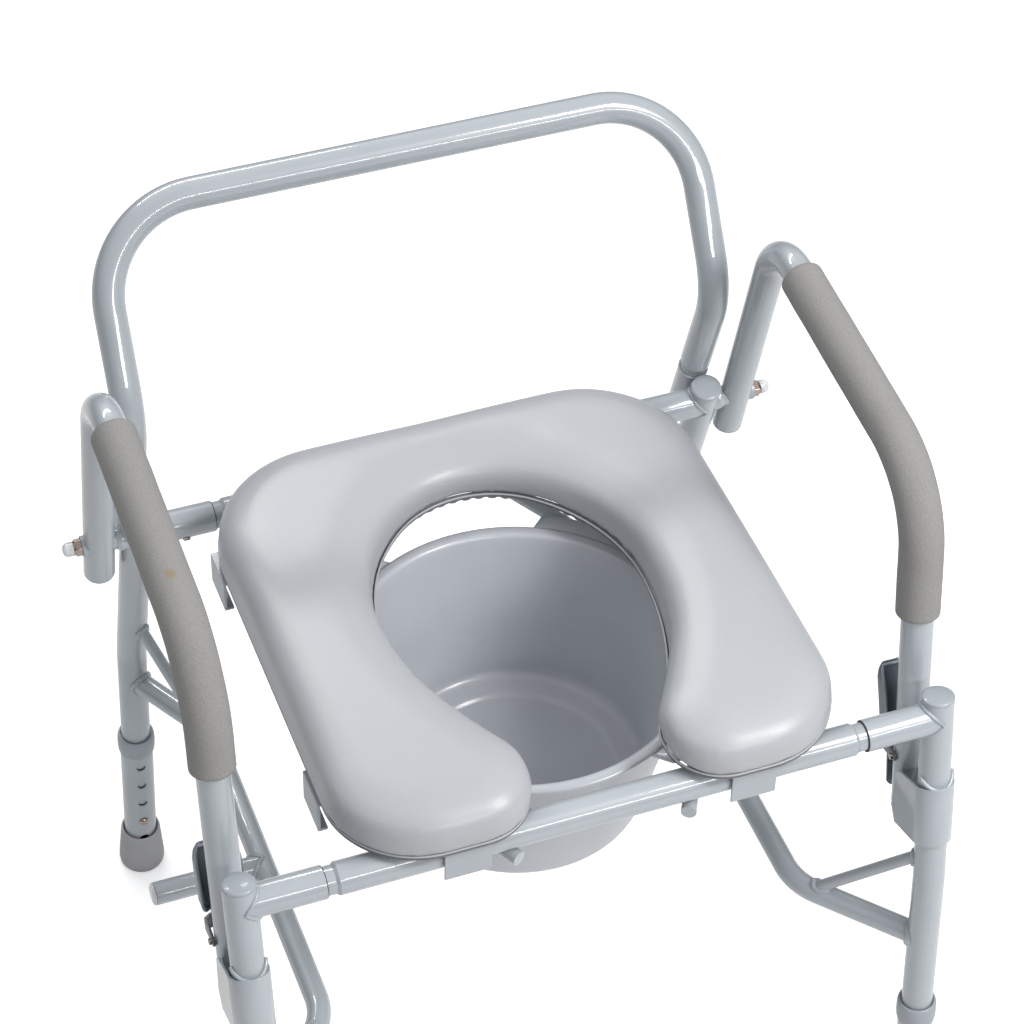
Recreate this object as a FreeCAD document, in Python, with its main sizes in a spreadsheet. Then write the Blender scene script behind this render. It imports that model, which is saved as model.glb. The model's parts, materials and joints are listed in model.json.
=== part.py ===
# Drop-arm commode chair, modelled as an assembly of separate sub-parts.
# Frame: +X to the right as seen from the open front, +Y towards the back, +Z up,
# floor at Z = 0. The origin is the middle of the chair's footprint box, on the floor.
import FreeCAD, Part
import math
import os
import Sketcher
from FreeCAD import Vector

doc = FreeCAD.newDocument("CommodeChair")
sheet = doc.addObject("Spreadsheet::Sheet", "Dims")

# ---------------------------------------------------------------- dimensions
# Lengths in mm, slopes as mm per mm of height, angles in degrees.
# "y" values are measured rearwards from the front leg tops, "z" from the floor.
# Columns: alias, value, meaning.
DIMENSIONS = [
    ("y_shift", 207.55, "from front leg tops back to the frame origin"),
    ("leg_top_z", 507, "height of the leg top caps"),
    ("tube_od", 25.4, "main tube outside diameter"),
    ("tube_id", 22.2, "main tube inside diameter"),
    ("front_x", 274.7, "half spacing of front legs"),
    ("front_slope", 0.163, "front leg upper part leans forward going down"),
    ("front_kink_z", 332, "height of the front leg bend"),
    ("rear_x", 245.2, "half spacing of rear legs at the top"),
    ("rear_y", 380.5, "rear leg tops behind the front leg tops"),
    ("rear_slope", 0.309, "rear leg upper part leans backward going down"),
    ("rear_kink_z", 294, "height of the rear leg bend"),
    ("low_slope_x", 0.014, "outward lean of the lower legs"),
    ("low_slope_y", 0.07, "forward or backward lean of the lower legs"),
    ("leg_end_z", 54, "bottom end of the inner leg tube"),
    ("leg_bend_r", 60, "leg bend radius"),
    ("cap_thick", 3, "leg top cap thickness"),
    ("bar_z", 486.7, "crossbar axis height"),
    ("front_bar_y", 3.3, "front crossbar axis in front of the leg tops"),
    ("rear_bar_y", 386.8, "rear crossbar axis"),
    ("front_sock_x", 213, "inner end of the front sockets"),
    ("rear_sock_x", 181.5, "inner end of the rear sockets"),
    ("neck_show", 8, "neck seen between socket and shoulder"),
    ("neck_in", 38, "neck length inside the socket"),
    ("neck_od", 21.9, "swaged neck diameter"),
    ("neck_id", 18.7, "swaged neck bore"),
    ("brace_od", 19, "side brace diameter"),
    ("brace_id", 15.8, "side brace bore"),
    ("brace_z", 257, "side brace height"),
    ("brace_x", 201, "half spacing of the braces' middle run"),
    ("brace_front_y", 51, "front bend of the brace"),
    ("brace_rear_y", 370, "rear bend of the brace"),
    ("brace_bend_r", 52, "brace bend radius"),
    ("stub_y", 212, "arm rest stub position"),
    ("stub_x", 292, "arm rest stub outer end"),
    ("rod_d", 10, "gusset rod diameter"),
    ("rod_z", 353, "gusset rod upper end height"),
    ("rod_frac", 0.88, "gusset rod foot along the diagonal"),
    ("arm_x", 275.2, "half spacing of the arms"),
    ("arm_p0_y", 396.9, "arm rear end"),
    ("arm_p0_z", 447, "arm rear end height"),
    ("arm_p1_y", 336.0, "arm rear top corner"),
    ("arm_p1_z", 690.5, "arm rear top corner height"),
    ("arm_p2_y", 64.4, "arm front top corner"),
    ("arm_p2_z", 666, "arm front top corner height"),
    ("arm_p3_y", 21.3, "arm front end"),
    ("arm_p3_z", 367, "arm front end height"),
    ("arm_r1", 45, "arm rear bend radius"),
    ("arm_r2", 75, "arm front bend radius"),
    ("foam_od", 34.4, "foam sleeve outside diameter"),
    ("foam_id", 25.7, "foam sleeve bore"),
    ("foam_y0", 292, "rear end of the foam"),
    ("foam_z0", 686.484, "rear end height of the foam"),
    ("foam_yl", 51.118, "front end of the left foam"),
    ("foam_zl", 574, "front end height of the left foam"),
    ("foam_yr", 47.514, "front end of the right foam"),
    ("foam_zr", 549, "front end height of the right foam"),
    ("pivot_y", 386.8, "arm pivot"),
    ("pivot_z", 486.7, "arm pivot height"),
    ("bolt_d", 8, "pivot bolt diameter"),
    ("pivot_bore", 8.14, "pivot bore"),
    ("back_off", 26.7, "backrest socket behind the rear leg"),
    ("back_x", 243.8, "half spacing of the backrest uprights"),
    ("back_p1_y", 373.4, "backrest bend"),
    ("back_p1_z", 614.5, "backrest bend height"),
    ("back_p2_y", 459.5, "backrest top tube"),
    ("back_p2_z", 756, "backrest top tube height"),
    ("back_r1", 70, "backrest side bend radius"),
    ("back_r2", 78, "backrest corner radius"),
    ("ext_od", 28.6, "leg extension outside diameter"),
    ("ext_id", 25.6, "leg extension bore"),
    ("ext_top_z", 181, "leg extension top"),
    ("ext_end_z", 8, "leg extension bottom"),
    ("hole_pitch", 25.4, "height adjustment pitch"),
    ("hole_d", 8.2, "adjustment hole diameter"),
    ("button_z", 72, "snap button height"),
    ("collar_z0", 160.5, "collar bottom"),
    ("collar_z1", 183, "collar top"),
    ("collar_r", 16.3, "collar radius"),
    ("tip_h", 48, "foot tip height"),
    ("tip_r0", 20, "foot tip radius at the floor"),
    ("tip_r1", 17.2, "foot tip radius at its top"),
    ("board_z", 501.6, "seat board underside"),
    ("board_t", 5, "seat board thickness"),
    ("pad_t", 40.4, "seat pad thickness"),
    ("pad_half", 205, "seat pad half width"),
    ("pad_y0", -31.5, "seat pad front edge"),
    ("pad_y1", 396, "seat pad rear edge"),
    ("hole_half", 105.5, "seat opening half width"),
    ("hole_yc", 190, "widest line of the seat opening"),
    ("hole_back", 130, "seat opening from its widest line to its back"),
    ("hole_back_r", 85, "seat opening radius across its back"),
    ("hole_dx", 4.5, "seat opening and clips off the seat's middle"),
    ("slot_half", 54.5, "half gap between the front lobes"),
    ("clip_x", 112.5, "centre of the bar clips"),
    ("clip_w", 36, "clip width"),
    ("bucket_y", 169, "bucket axis"),
    ("bucket_top_z", 479, "bucket rim height"),
    ("bucket_bot_z", 337, "bucket base height"),
    ("bucket_r1", 134, "bucket wall radius at the rim"),
    ("bucket_r0", 106, "bucket radius at the base"),
    ("bucket_rim_r", 143, "bucket rim radius"),
    ("wing_r", 161, "bucket wing radius"),
    ("wing_deg", 65, "half angle of a wing"),
    ("bucket_wall", 2.6, "bucket wall thickness"),
    ("support_d", 12, "bucket support rod diameter"),
    ("support_z", 468, "support rod axis height"),
    ("support_r", 146, "support rod bow radius"),
]


class Dimensions:
    """The sheet's values, one attribute for each alias."""


dim = Dimensions()
sheet.set("A1", "name")
sheet.set("B1", "value")
sheet.set("C1", "meaning")
for row, (alias, amount, meaning) in enumerate(DIMENSIONS, start=2):
    sheet.set(f"A{row}", alias)
    sheet.set(f"B{row}", str(amount))
    sheet.set(f"C{row}", meaning)
    sheet.setAlias(f"B{row}", alias)
    setattr(dim, alias, float(amount))
doc.recompute()


# ---------------------------------------------------------------- sizes
# A size is a plain number, or a (number, expression) pair that stays bound to the sheet.
def number(size):
    return float(size[0] if isinstance(size, tuple) else size)


def full(alias, sign=1):
    return sign * getattr(dim, alias), f"{'-' if sign < 0 else ''}Dims.{alias} * 1mm"


def half(alias):
    return getattr(dim, alias) / 2, f"Dims.{alias} / 2 * 1mm"


def frame_y(alias):
    """A dimension measured from the front leg tops, as a Y in the chair's frame."""
    return getattr(dim, alias) - dim.y_shift, f"(Dims.{alias} - Dims.y_shift) * 1mm"


def world(x, y, z):
    """Point from an x, a distance behind the front leg tops and a height."""
    return Vector(x, y - dim.y_shift, z)


TUBE = half("tube_od")
BORE = half("tube_id")
TUBE_R = dim.tube_od / 2
BORE_R = dim.tube_id / 2
COPE_R = TUBE_R + 0.01      # cutter for an end that fits against a main tube
PLUG_R = BORE_R - 0.1       # plastic plug inside a main tube
SEAM = 0.02                 # gap between a plastic or wooden piece and what it rests on
ALONG_X = Vector(1, 0, 0)
ALONG_Z = Vector(0, 0, 1)


# ---------------------------------------------------------------- document helpers
pieces = []


def piece(label, obj):
    """Mark an object as one of the chair's pieces."""
    obj.Label = label
    pieces.append(obj)


def set_size(obj, prop, size):
    setattr(obj, prop, number(size))
    if isinstance(size, tuple):
        obj.setExpression(prop, size[1])


def place(obj, base, direction=None):
    """Put an object's origin at base, its Z axis along direction."""
    turn = FreeCAD.Rotation(ALONG_Z, direction) if direction else FreeCAD.Rotation()
    obj.Placement = FreeCAD.Placement(base, turn)
    return obj


def anchor(body, base, axis, alias, sign=1):
    """Move a body to base and bind one coordinate of its place."""
    body.Placement.Base = base
    body.setExpression("Placement.Base." + axis, full(alias, sign)[1])


def frame(x_axis, y_axis, z_axis, origin):
    """Placement from three axes and an origin."""
    columns = (x_axis, y_axis, z_axis, origin)
    rows = [getattr(column, axis) for axis in "xyz" for column in columns]
    return FreeCAD.Placement(FreeCAD.Matrix(*rows, 0, 0, 0, 1))


def cylinder(name, base, direction, radius, height):
    obj = doc.addObject("Part::Cylinder", name)
    set_size(obj, "Radius", radius)
    set_size(obj, "Height", height)
    return place(obj, base, direction)


def cone(name, base, direction, radius1, radius2, height):
    obj = doc.addObject("Part::Cone", name)
    obj.Radius1 = radius1
    obj.Radius2 = radius2
    obj.Height = height
    return place(obj, base, direction)


def hexagon(name, base, direction, circumradius, height):
    obj = doc.addObject("Part::Prism", name)
    obj.Polygon = 6
    obj.Circumradius = circumradius
    obj.Height = height
    return place(obj, base, direction)


def box(name, x_span, y_span, z_span):
    obj = doc.addObject("Part::Box", name)
    obj.Length = x_span[1] - x_span[0]
    obj.Width = y_span[1] - y_span[0]
    obj.Height = z_span[1] - z_span[0]
    obj.Placement.Base = Vector(x_span[0], y_span[0], z_span[0])
    return obj


def feature(name, shape):
    obj = doc.addObject("Part::Feature", name)
    obj.Shape = shape
    return obj


def cut(name, base, *tools):
    """Base minus each tool in turn."""
    result = base
    for i, tool in enumerate(tools):
        step = doc.addObject("Part::Cut", f"{name}_cut{i}")
        step.Base = result
        step.Tool = tool
        result = step
    return result


def fuse(name, *parts):
    obj = doc.addObject("Part::MultiFuse", name + "_fuse")
    obj.Shapes = list(parts)
    return obj


def common(name, base, tool):
    obj = doc.addObject("Part::Common", name + "_common")
    obj.Base = base
    obj.Tool = tool
    return obj


def set_piece(label, parts):
    """A piece made of several parts that are kept apart."""
    obj = doc.addObject("Part::Compound", label + "_set")
    obj.Links = list(parts)
    piece(label, obj)


# ---------------------------------------------------------------- sketched bodies
def sketch_on(body, name, plane):
    sketch = body.newObject("Sketcher::SketchObject", name)
    support = [o for o in body.Origin.OriginFeatures if o.Role == plane][0]
    sketch.AttachmentSupport = [(support, "")]
    sketch.MapMode = "FlatFace"
    return sketch


def constrain(sketch, size, *definition):
    """Add a dimensional constraint, bound if its size is."""
    index = sketch.addConstraint(Sketcher.Constraint(*definition, number(size)))
    if isinstance(size, tuple):
        sketch.setExpression(f"Constraints[{index}]", size[1])


def fix_point(sketch, geometry, end, x, y):
    """Fix a sketch point by signed distances from the sketch origin."""
    constrain(sketch, x, "DistanceX", -1, 1, geometry, end)
    constrain(sketch, y, "DistanceY", -1, 1, geometry, end)


def bend_at(before, corner, after, radius):
    """Centre, start and end of the arc that rounds a corner."""
    back = (before - corner).normalize()
    ahead = (after - corner).normalize()
    half_angle = back.getAngle(ahead) / 2
    run = radius / math.tan(half_angle)
    centre = corner + (back + ahead).normalize() * (radius / math.sin(half_angle))
    return centre, corner + back * run, corner + ahead * run


def bent_pipe(name, plane, corners, radii, outer, inner=None):
    """A body: tube or rod swept along a polyline with bent corners.
    corners: (x, y) sizes in the sketch plane; radii: one size for each inner corner."""
    body = doc.addObject("PartDesign::Body", name)
    path = sketch_on(body, name + "_path", plane)
    points = [Vector(number(x), number(y), 0) for x, y in corners]
    bends = [bend_at(before, corner, after, number(radius))
             for before, corner, after, radius in zip(points, points[1:], points[2:], radii)]
    starts = [points[0]] + [bend[2] for bend in bends]
    ends = [bend[1] for bend in bends] + [points[-1]]
    lines = [path.addGeometry(Part.LineSegment(start, end), False)
             for start, end in zip(starts, ends)]
    arcs = []
    for (centre, start, end), radius in zip(bends, radii):
        angle1 = math.atan2(start.y - centre.y, start.x - centre.x)
        angle2 = math.atan2(end.y - centre.y, end.x - centre.x)
        counterclockwise = (start - centre).cross(end - centre).z > 0
        if not counterclockwise:
            angle1, angle2 = angle2, angle1
        circle = Part.Circle(centre, ALONG_Z, number(radius))
        arc = path.addGeometry(Part.ArcOfCircle(circle, angle1, angle2), False)
        arcs.append((arc, counterclockwise))
    for i, (arc, counterclockwise) in enumerate(arcs):
        first, second = (1, 2) if counterclockwise else (2, 1)
        path.addConstraint(Sketcher.Constraint("Tangent", lines[i], 2, arc, first))
        path.addConstraint(Sketcher.Constraint("Tangent", arc, second, lines[i + 1], 1))
        constrain(path, radii[i], "Radius", arc)
        corner = path.addGeometry(Part.Point(points[i + 1]), True)
        for line in lines[i:i + 2]:
            path.addConstraint(Sketcher.Constraint("PointOnObject", corner, 1, line))
        fix_point(path, corner, 1, *corners[i + 1])
    fix_point(path, lines[0], 1, *corners[0])
    fix_point(path, lines[-1], 2, *corners[-1])
    doc.recompute()
    profile = body.newObject("Sketcher::SketchObject", name + "_profile")
    profile.AttachmentSupport = [(path, "Edge1")]
    profile.MapMode = "NormalToEdge"
    profile.MapPathParameter = 0.0
    for radius in (outer, inner):
        if radius is not None:
            circle = profile.addGeometry(Part.Circle(Vector(), ALONG_Z, number(radius)), False)
            profile.addConstraint(Sketcher.Constraint("Coincident", circle, 3, -1, 1))
            constrain(profile, radius, "Radius", circle)
    doc.recompute()
    pipe = body.newObject("PartDesign::AdditivePipe", name + "_pipe")
    pipe.Profile = profile
    pipe.Spine = path
    doc.recompute()
    body.Tip = pipe
    return body


def draw_polygon(sketch, corners):
    """Closed polygon through (x, y) sizes, every corner fixed."""
    points = [Vector(number(x), number(y), 0) for x, y in corners]
    lines = [sketch.addGeometry(Part.LineSegment(start, end), False)
             for start, end in zip(points, points[1:] + points[:1])]
    for line, following, (x, y) in zip(lines, lines[1:] + lines[:1], corners):
        sketch.addConstraint(Sketcher.Constraint("Coincident", line, 2, following, 1))
        fix_point(sketch, line, 1, x, y)


def prism(name, outline, width, x):
    """A body: (y, z) polygon padded along X, half of the width to each side of x."""
    body = doc.addObject("PartDesign::Body", name)
    sketch = sketch_on(body, name + "_outline", "YZ_Plane")
    draw_polygon(sketch, outline)
    doc.recompute()
    pad = body.newObject("PartDesign::Pad", name + "_pad")
    pad.Profile = sketch
    pad.Length = width
    pad.Midplane = True
    doc.recompute()
    body.Tip = pad
    body.Placement.Base = Vector(x, 0, 0)
    return body


# ---------------------------------------------------------------- plain shapes
def segment(start, end):
    return Part.LineSegment(start, end).toShape()


def arc_through(start, middle, end):
    return Part.Arc(start, middle, end).toShape()


def round_wire(points, radii):
    """Wire through 3-D points with each inner corner bent to its radius."""
    edges = []
    last = points[0]
    for before, corner, after, radius in zip(points, points[1:], points[2:], radii):
        centre, start, end = bend_at(before, corner, after, radius)
        middle = centre + (corner - centre).normalize() * radius
        edges.append(segment(last, start))
        edges.append(arc_through(start, middle, end))
        last = end
    edges.append(segment(last, points[-1]))
    return Part.Wire(edges)


def pipe_solid(wire, radius, frenet=False):
    """Round rod along a wire."""
    first = wire.Edges[0]
    start = first.valueAt(first.FirstParameter)
    direction = first.tangentAt(first.FirstParameter)
    ring = Part.Wire([Part.Circle(start, direction, radius).toShape()])
    swept = wire.makePipeShell([ring], True, frenet)
    # A sweep that comes back as a shell is closed into a solid.
    return swept if swept.ShapeType == "Solid" else Part.Solid(swept)


# ---------------------------------------------------------------- legs and sides
class Leg:
    """Axes of one leg: an upper and a lower straight part that meet at the kink."""

    def __init__(self, end, side_name, sign):
        self.end = end
        self.side_name = side_name
        self.sign = sign
        self.name = f"{end}_{side_name}"
        x = sign * getattr(dim, end + "_x")
        y = 0.0 if end == "front" else dim.rear_y
        lean = -1 if end == "front" else 1
        slope = lean * getattr(dim, end + "_slope")
        kink_z = getattr(dim, end + "_kink_z")
        self.top = world(x, y, dim.leg_top_z)
        self.kink = world(x, y + slope * (dim.leg_top_z - kink_z), kink_z)
        self.upper_dir = (self.kink - self.top).normalize()
        self.lower_dir = Vector(sign * dim.low_slope_x, lean * dim.low_slope_y, -1).normalize()
        # Square to the lower part, towards the front of the chair.
        forward = Vector(0, -1, 0)
        self.face = (forward - self.lower_dir * forward.dot(self.lower_dir)).normalize()

    def upper(self, z):
        """Point at height z on the upper axis."""
        return self.top + self.upper_dir * ((z - self.top.z) / self.upper_dir.z)

    def lower(self, z):
        """Point at height z on the lower axis."""
        return self.kink + self.lower_dir * ((z - self.kink.z) / self.lower_dir.z)


class Side:
    """One side of the chair: its legs, arm plane and backrest upright."""

    def __init__(self, name, sign):
        self.name = name
        self.sign = sign
        self.outward = Vector(sign, 0, 0)
        self.arm = Vector(sign * dim.arm_x, 0, 0)
        self.legs = {end: Leg(end, name, sign) for end in ("front", "rear")}
        back_x = sign * dim.back_x
        self.back_low = world(back_x, dim.rear_y + dim.back_off, dim.leg_top_z)
        self.back_bend = world(back_x, dim.back_p1_y, dim.back_p1_z)
        self.back_dir = (self.back_bend - self.back_low).normalize()
        self.back_button_dir = Vector(sign, 0.9, 0.28).normalize()

    def pivot(self, x):
        """Point on the arm pivot's axis, x outwards from the middle plane."""
        return world(self.sign * x, dim.pivot_y, dim.pivot_z)

    def back(self, z):
        """Point at height z on the backrest upright's lower axis."""
        return self.back_low + self.back_dir * ((z - self.back_low.z) / self.back_dir.z)


SIDES = (Side("left", -1), Side("right", 1))
LEGS = [side.legs[end] for end in ("front", "rear") for side in SIDES]


def leg_tube(leg):
    """Tube with one bend, sketched in the plane that holds both straight parts."""
    angle = leg.upper_dir.getAngle(leg.lower_dir)
    start = leg.top + leg.upper_dir * dim.cap_thick
    upper_run = (leg.kink - start).Length
    lower_run = (leg.lower(dim.leg_end_z) - leg.kink).Length
    upper_text = (f"((Dims.leg_top_z - Dims.{leg.end}_kink_z) * {-1 / leg.upper_dir.z:.9f}"
                  " - Dims.cap_thick) * 1mm")
    lower_text = (f"((Dims.{leg.end}_kink_z - Dims.leg_end_z)"
                  f" * {-1 / leg.lower_dir.z:.9f}) * 1mm")
    end_x = (lower_run * math.sin(angle), f"{lower_text} * {math.sin(angle):.12f}")
    end_y = (-upper_run - lower_run * math.cos(angle),
             f"-{upper_text} - {lower_text} * {math.cos(angle):.12f}")
    body = bent_pipe("Leg_" + leg.name, "XY_Plane",
                     [(0, 0), (0, (-upper_run, "-" + upper_text)), (end_x, end_y)],
                     [full("leg_bend_r")], TUBE, BORE)
    up = leg.upper_dir * -1
    across = leg.lower_dir - leg.upper_dir * leg.lower_dir.dot(leg.upper_dir)
    across.normalize()
    body.Placement = frame(across, up, across.cross(up), start)
    # The snap button's hole goes through the front wall only.
    drills = [cylinder("Drill_" + leg.name, leg.lower(dim.button_z), leg.face,
                       half("hole_d"), 20)]
    if leg.end == "rear":
        pivot = world(leg.sign * (dim.rear_x - 20), dim.pivot_y, dim.pivot_z)
        drills.append(cylinder("PivotDrill_" + leg.name, pivot, Vector(leg.sign, 0, 0),
                               BOLT_CLEAR_R, 40))
    return cut("leg_" + leg.name, body, *drills)


def leg_cap(leg):
    """Push-in plastic cap: a low dome on a plug."""
    up = leg.upper_dir * -1
    start = leg.top + leg.upper_dir * dim.cap_thick
    overhang = 0.2
    disc_h = 2.0
    cap_r = TUBE_R + overhang
    disc = cylinder("CapDisc_" + leg.name, start + up * SEAM, up,
                    (cap_r, f"(Dims.tube_od / 2 + {overhang}) * 1mm"), disc_h)
    top = cone("CapTop_" + leg.name, start + up * (disc_h + SEAM), up,
               cap_r, TUBE_R - 1.4, dim.cap_thick - disc_h)
    plug = cylinder("CapPlug_" + leg.name, start + leg.upper_dir * 9, up, PLUG_R, 9.1)
    return fuse("cap_" + leg.name, disc, top, plug)


BOLT_CLEAR_R = 4.1      # pivot bolt hole in the rear leg and its boss

for leg in LEGS:
    piece(f"{leg.end}_leg_{leg.side_name}", leg_tube(leg))
set_piece("leg_top_caps", [leg_cap(leg) for leg in LEGS])


# ---------------------------------------------------------------- crossbars and their sockets
BAR_Y = {"front": -dim.front_bar_y, "rear": dim.rear_bar_y}
# A screw holds each crossbar neck in its socket: half spacing and direction of its axis.
SCREW_X = {"front": 236, "rear": 206}
SCREW_DIR = {"front": Vector(0, 0.6, -0.8).normalize(),
             "rear": Vector(0, -0.75, -0.66).normalize()}
SHOULDER = 2        # the cone of a shoulder replaces this much of the bar


def at_bar(end, x):
    return world(x, BAR_Y[end], dim.bar_z)


def screw_hole(name, end, sign):
    return cylinder(name, at_bar(end, sign * SCREW_X[end]), SCREW_DIR[end], 2.1, 20)


def bar_socket(end, side):
    """Tube stub on a leg that takes the crossbar's neck."""
    leg = side.legs[end]
    inner_x = getattr(dim, end + "_sock_x")
    length = getattr(dim, end + "_x") - inner_x
    base = at_bar(end, side.sign * inner_x)
    outer = cylinder("Socket_" + leg.name, base, side.outward, TUBE,
                     (length, f"(Dims.{end}_x - Dims.{end}_sock_x) * 1mm"))
    bore = cylinder("SocketBore_" + leg.name, base - side.outward, side.outward,
                    BORE, length + 2)
    cope = cylinder("SocketCope_" + leg.name, leg.upper(dim.bar_z + 60), leg.upper_dir, TUBE, 120)
    hole = screw_hole("SocketScrew_" + leg.name, end, side.sign)
    return cut("socket_" + leg.name, outer, bore, cope, hole)


def crossbar(end):
    """Tube with a shoulder and a swaged neck at both ends."""
    half_length = getattr(dim, end + "_sock_x") - dim.neck_show
    main = cylinder("Bar_" + end, at_bar(end, -half_length + SHOULDER), ALONG_X, TUBE,
                    (2 * (half_length - SHOULDER),
                     f"2 * (Dims.{end}_sock_x - Dims.neck_show - {SHOULDER}) * 1mm"))
    overlap = 4
    neck = (dim.neck_show + dim.neck_in + overlap,
            f"(Dims.neck_show + Dims.neck_in + {overlap}) * 1mm")
    parts = [main]
    for side in SIDES:
        key = f"{end}{side.sign}"
        parts.append(cone("Shoulder_" + key, at_bar(end, side.sign * (half_length - SHOULDER)),
                          side.outward, TUBE_R, dim.neck_od / 2, 2.5))
        parts.append(cylinder("Neck_" + key, at_bar(end, side.sign * (half_length - overlap)),
                              side.outward, half("neck_od"), neck))
    reach = half_length + neck[0]
    tools = [cylinder("BarBore_" + end, at_bar(end, -reach), ALONG_X,
                      half("neck_id"), 2 * reach)]
    for side in SIDES:
        tools.append(screw_hole(f"BarScrew_{end}{side.sign}", end, side.sign))
    return cut(end + "_bar", fuse(end + "_bar", *parts), *tools)


def crossbar_screw(end, side):
    key = f"{end}{side.sign}"
    point = at_bar(end, side.sign * SCREW_X[end])
    direction = SCREW_DIR[end]
    head = cone("ScrewHead_" + key, point + direction * (TUBE_R + 0.05), direction, 3.6, 2.4, 2.0)
    shank = cylinder("ScrewShank_" + key, point + direction * (TUBE_R - 5.0), direction,
                     1.95, 5.2)
    return fuse("screw_" + key, head, shank)


for end in ("front", "rear"):
    set_piece(end + "_bar_sockets", [bar_socket(end, side) for side in SIDES])
    piece(end + "_crossbar", crossbar(end))
set_piece("crossbar_screws",
          [crossbar_screw(end, side) for side in SIDES for end in ("front", "rear")])


# ---------------------------------------------------------------- braces, stubs, gusset rods
BRACE = half("brace_od")
BRACE_BORE = half("brace_id")
BRACE_COPE_R = dim.brace_od / 2 + 0.01


def brace_end(leg):
    """Where the brace meets a leg's axis, in the brace's own plane."""
    point = leg.lower(dim.brace_z)
    return Vector(point.x, point.y, 0)


def brace_bend(side, end):
    """Corner of the brace near one leg, in the brace's own plane."""
    return world(side.sign * dim.brace_x, getattr(dim, f"brace_{end}_y"), 0)


def side_brace(side):
    """Level tube from the front to the rear leg, its middle run set inwards."""
    front, rear = side.legs["front"], side.legs["rear"]
    front_end, rear_end = brace_end(front), brace_end(rear)
    run_x = full("brace_x", side.sign)
    body = bent_pipe("Brace_" + side.name, "XY_Plane",
                     [(front_end.x, front_end.y),
                      (run_x, frame_y("brace_front_y")),
                      (run_x, frame_y("brace_rear_y")),
                      (rear_end.x, rear_end.y)],
                     [full("brace_bend_r")] * 2, BRACE, BRACE_BORE)
    anchor(body, Vector(0, 0, dim.brace_z), "z", "brace_z")
    copes = [cylinder(f"BraceCope{leg.end}_{side.name}", leg.lower(dim.brace_z + 40),
                      leg.lower_dir, COPE_R, 80) for leg in (front, rear)]
    return cut("brace_" + side.name, body, *copes)


def arm_rest_stub(side):
    """Short tube the lowered arm rests on, welded to the brace."""
    base = world(side.sign * dim.brace_x, dim.stub_y, dim.brace_z)
    length = dim.stub_x - dim.brace_x
    outer = cylinder("Stub_" + side.name, base, side.outward, BRACE,
                     (length, "(Dims.stub_x - Dims.brace_x) * 1mm"))
    bore = cylinder("StubBore_" + side.name, base, side.outward, BRACE_BORE, length + 2)
    cope = cylinder("StubCope_" + side.name, base - Vector(0, 40, 0), Vector(0, 1, 0),
                    BRACE_COPE_R, 80)
    return cut("stub_" + side.name, outer, bore, cope)


def gusset_rod(side, end):
    """Rod from a leg's upper part down to the brace's slanting end."""
    leg = side.legs[end]
    key = f"{end}_{side.name}"
    leg_point = brace_end(leg)
    bend = brace_bend(side, end)
    other_bend = brace_bend(side, "rear" if end == "front" else "front")
    lift = Vector(0, 0, dim.brace_z)
    top = leg.upper(dim.rod_z)
    foot = leg_point + (bend - leg_point) * dim.rod_frac + lift
    rod = cylinder("Rod_" + key, top, foot - top, half("rod_d"), (foot - top).Length)
    leg_cope_r = TUBE_R + 0.08
    upper_cope = cylinder("RodCopeA_" + key, leg.upper(dim.rod_z + 45), leg.upper_dir,
                          leg_cope_r, 90)
    diagonal = (bend - leg_point).normalize()
    brace_cope = cylinder("RodCopeB_" + key, foot - diagonal * 25, diagonal, BRACE_COPE_R, 50)
    lower_cope = cylinder("RodCopeC_" + key, leg.kink - leg.lower_dir * 4, leg.lower_dir,
                          leg_cope_r, 60)
    # The brace's bend, as a ring, trims the foot of the rod.
    ring = doc.addObject("Part::Torus", "RodCopeD_" + key)
    set_size(ring, "Radius1", full("brace_bend_r"))
    ring.Radius2 = BRACE_COPE_R
    place(ring, bend_at(leg_point, bend, other_bend, dim.brace_bend_r)[0] + lift)
    return cut("rod_" + key, rod, upper_cope, brace_cope, lower_cope, ring)


for side in SIDES:
    piece("side_brace_" + side.name, side_brace(side))
set_piece("arm_rest_stubs", [arm_rest_stub(side) for side in SIDES])
set_piece("gusset_rods", [gusset_rod(side, end) for side in SIDES for end in ("front", "rear")])


# ---------------------------------------------------------------- arms
# Arm axis in the plane x = 0: rear end, rear top corner, front top corner, front end.
ARM_POINTS = [world(0, getattr(dim, f"arm_p{i}_y"), getattr(dim, f"arm_p{i}_z"))
              for i in range(4)]
ARM_REAR_DIR = (ARM_POINTS[0] - ARM_POINTS[1]).normalize()      # down the rear tube
ARM_FRONT_DIR = (ARM_POINTS[3] - ARM_POINTS[2]).normalize()     # down the front tube
# Square to the front tube, rearwards.
ARM_REARWARD = Vector(0, -ARM_FRONT_DIR.z, ARM_FRONT_DIR.y)


def arm_front_at(z):
    """Point at height z on the front tube's axis."""
    return ARM_POINTS[2] + ARM_FRONT_DIR * ((z - ARM_POINTS[2].z) / ARM_FRONT_DIR.z)


LEVER_PIN = arm_front_at(dim.leg_top_z - 93)
PLUNGER = arm_front_at(dim.leg_top_z - 123)
LEVER_PIN_R = 2.5
PLUNGER_R = 3.0


def arm_corner(index):
    return frame_y(f"arm_p{index}_y"), full(f"arm_p{index}_z")


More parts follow.
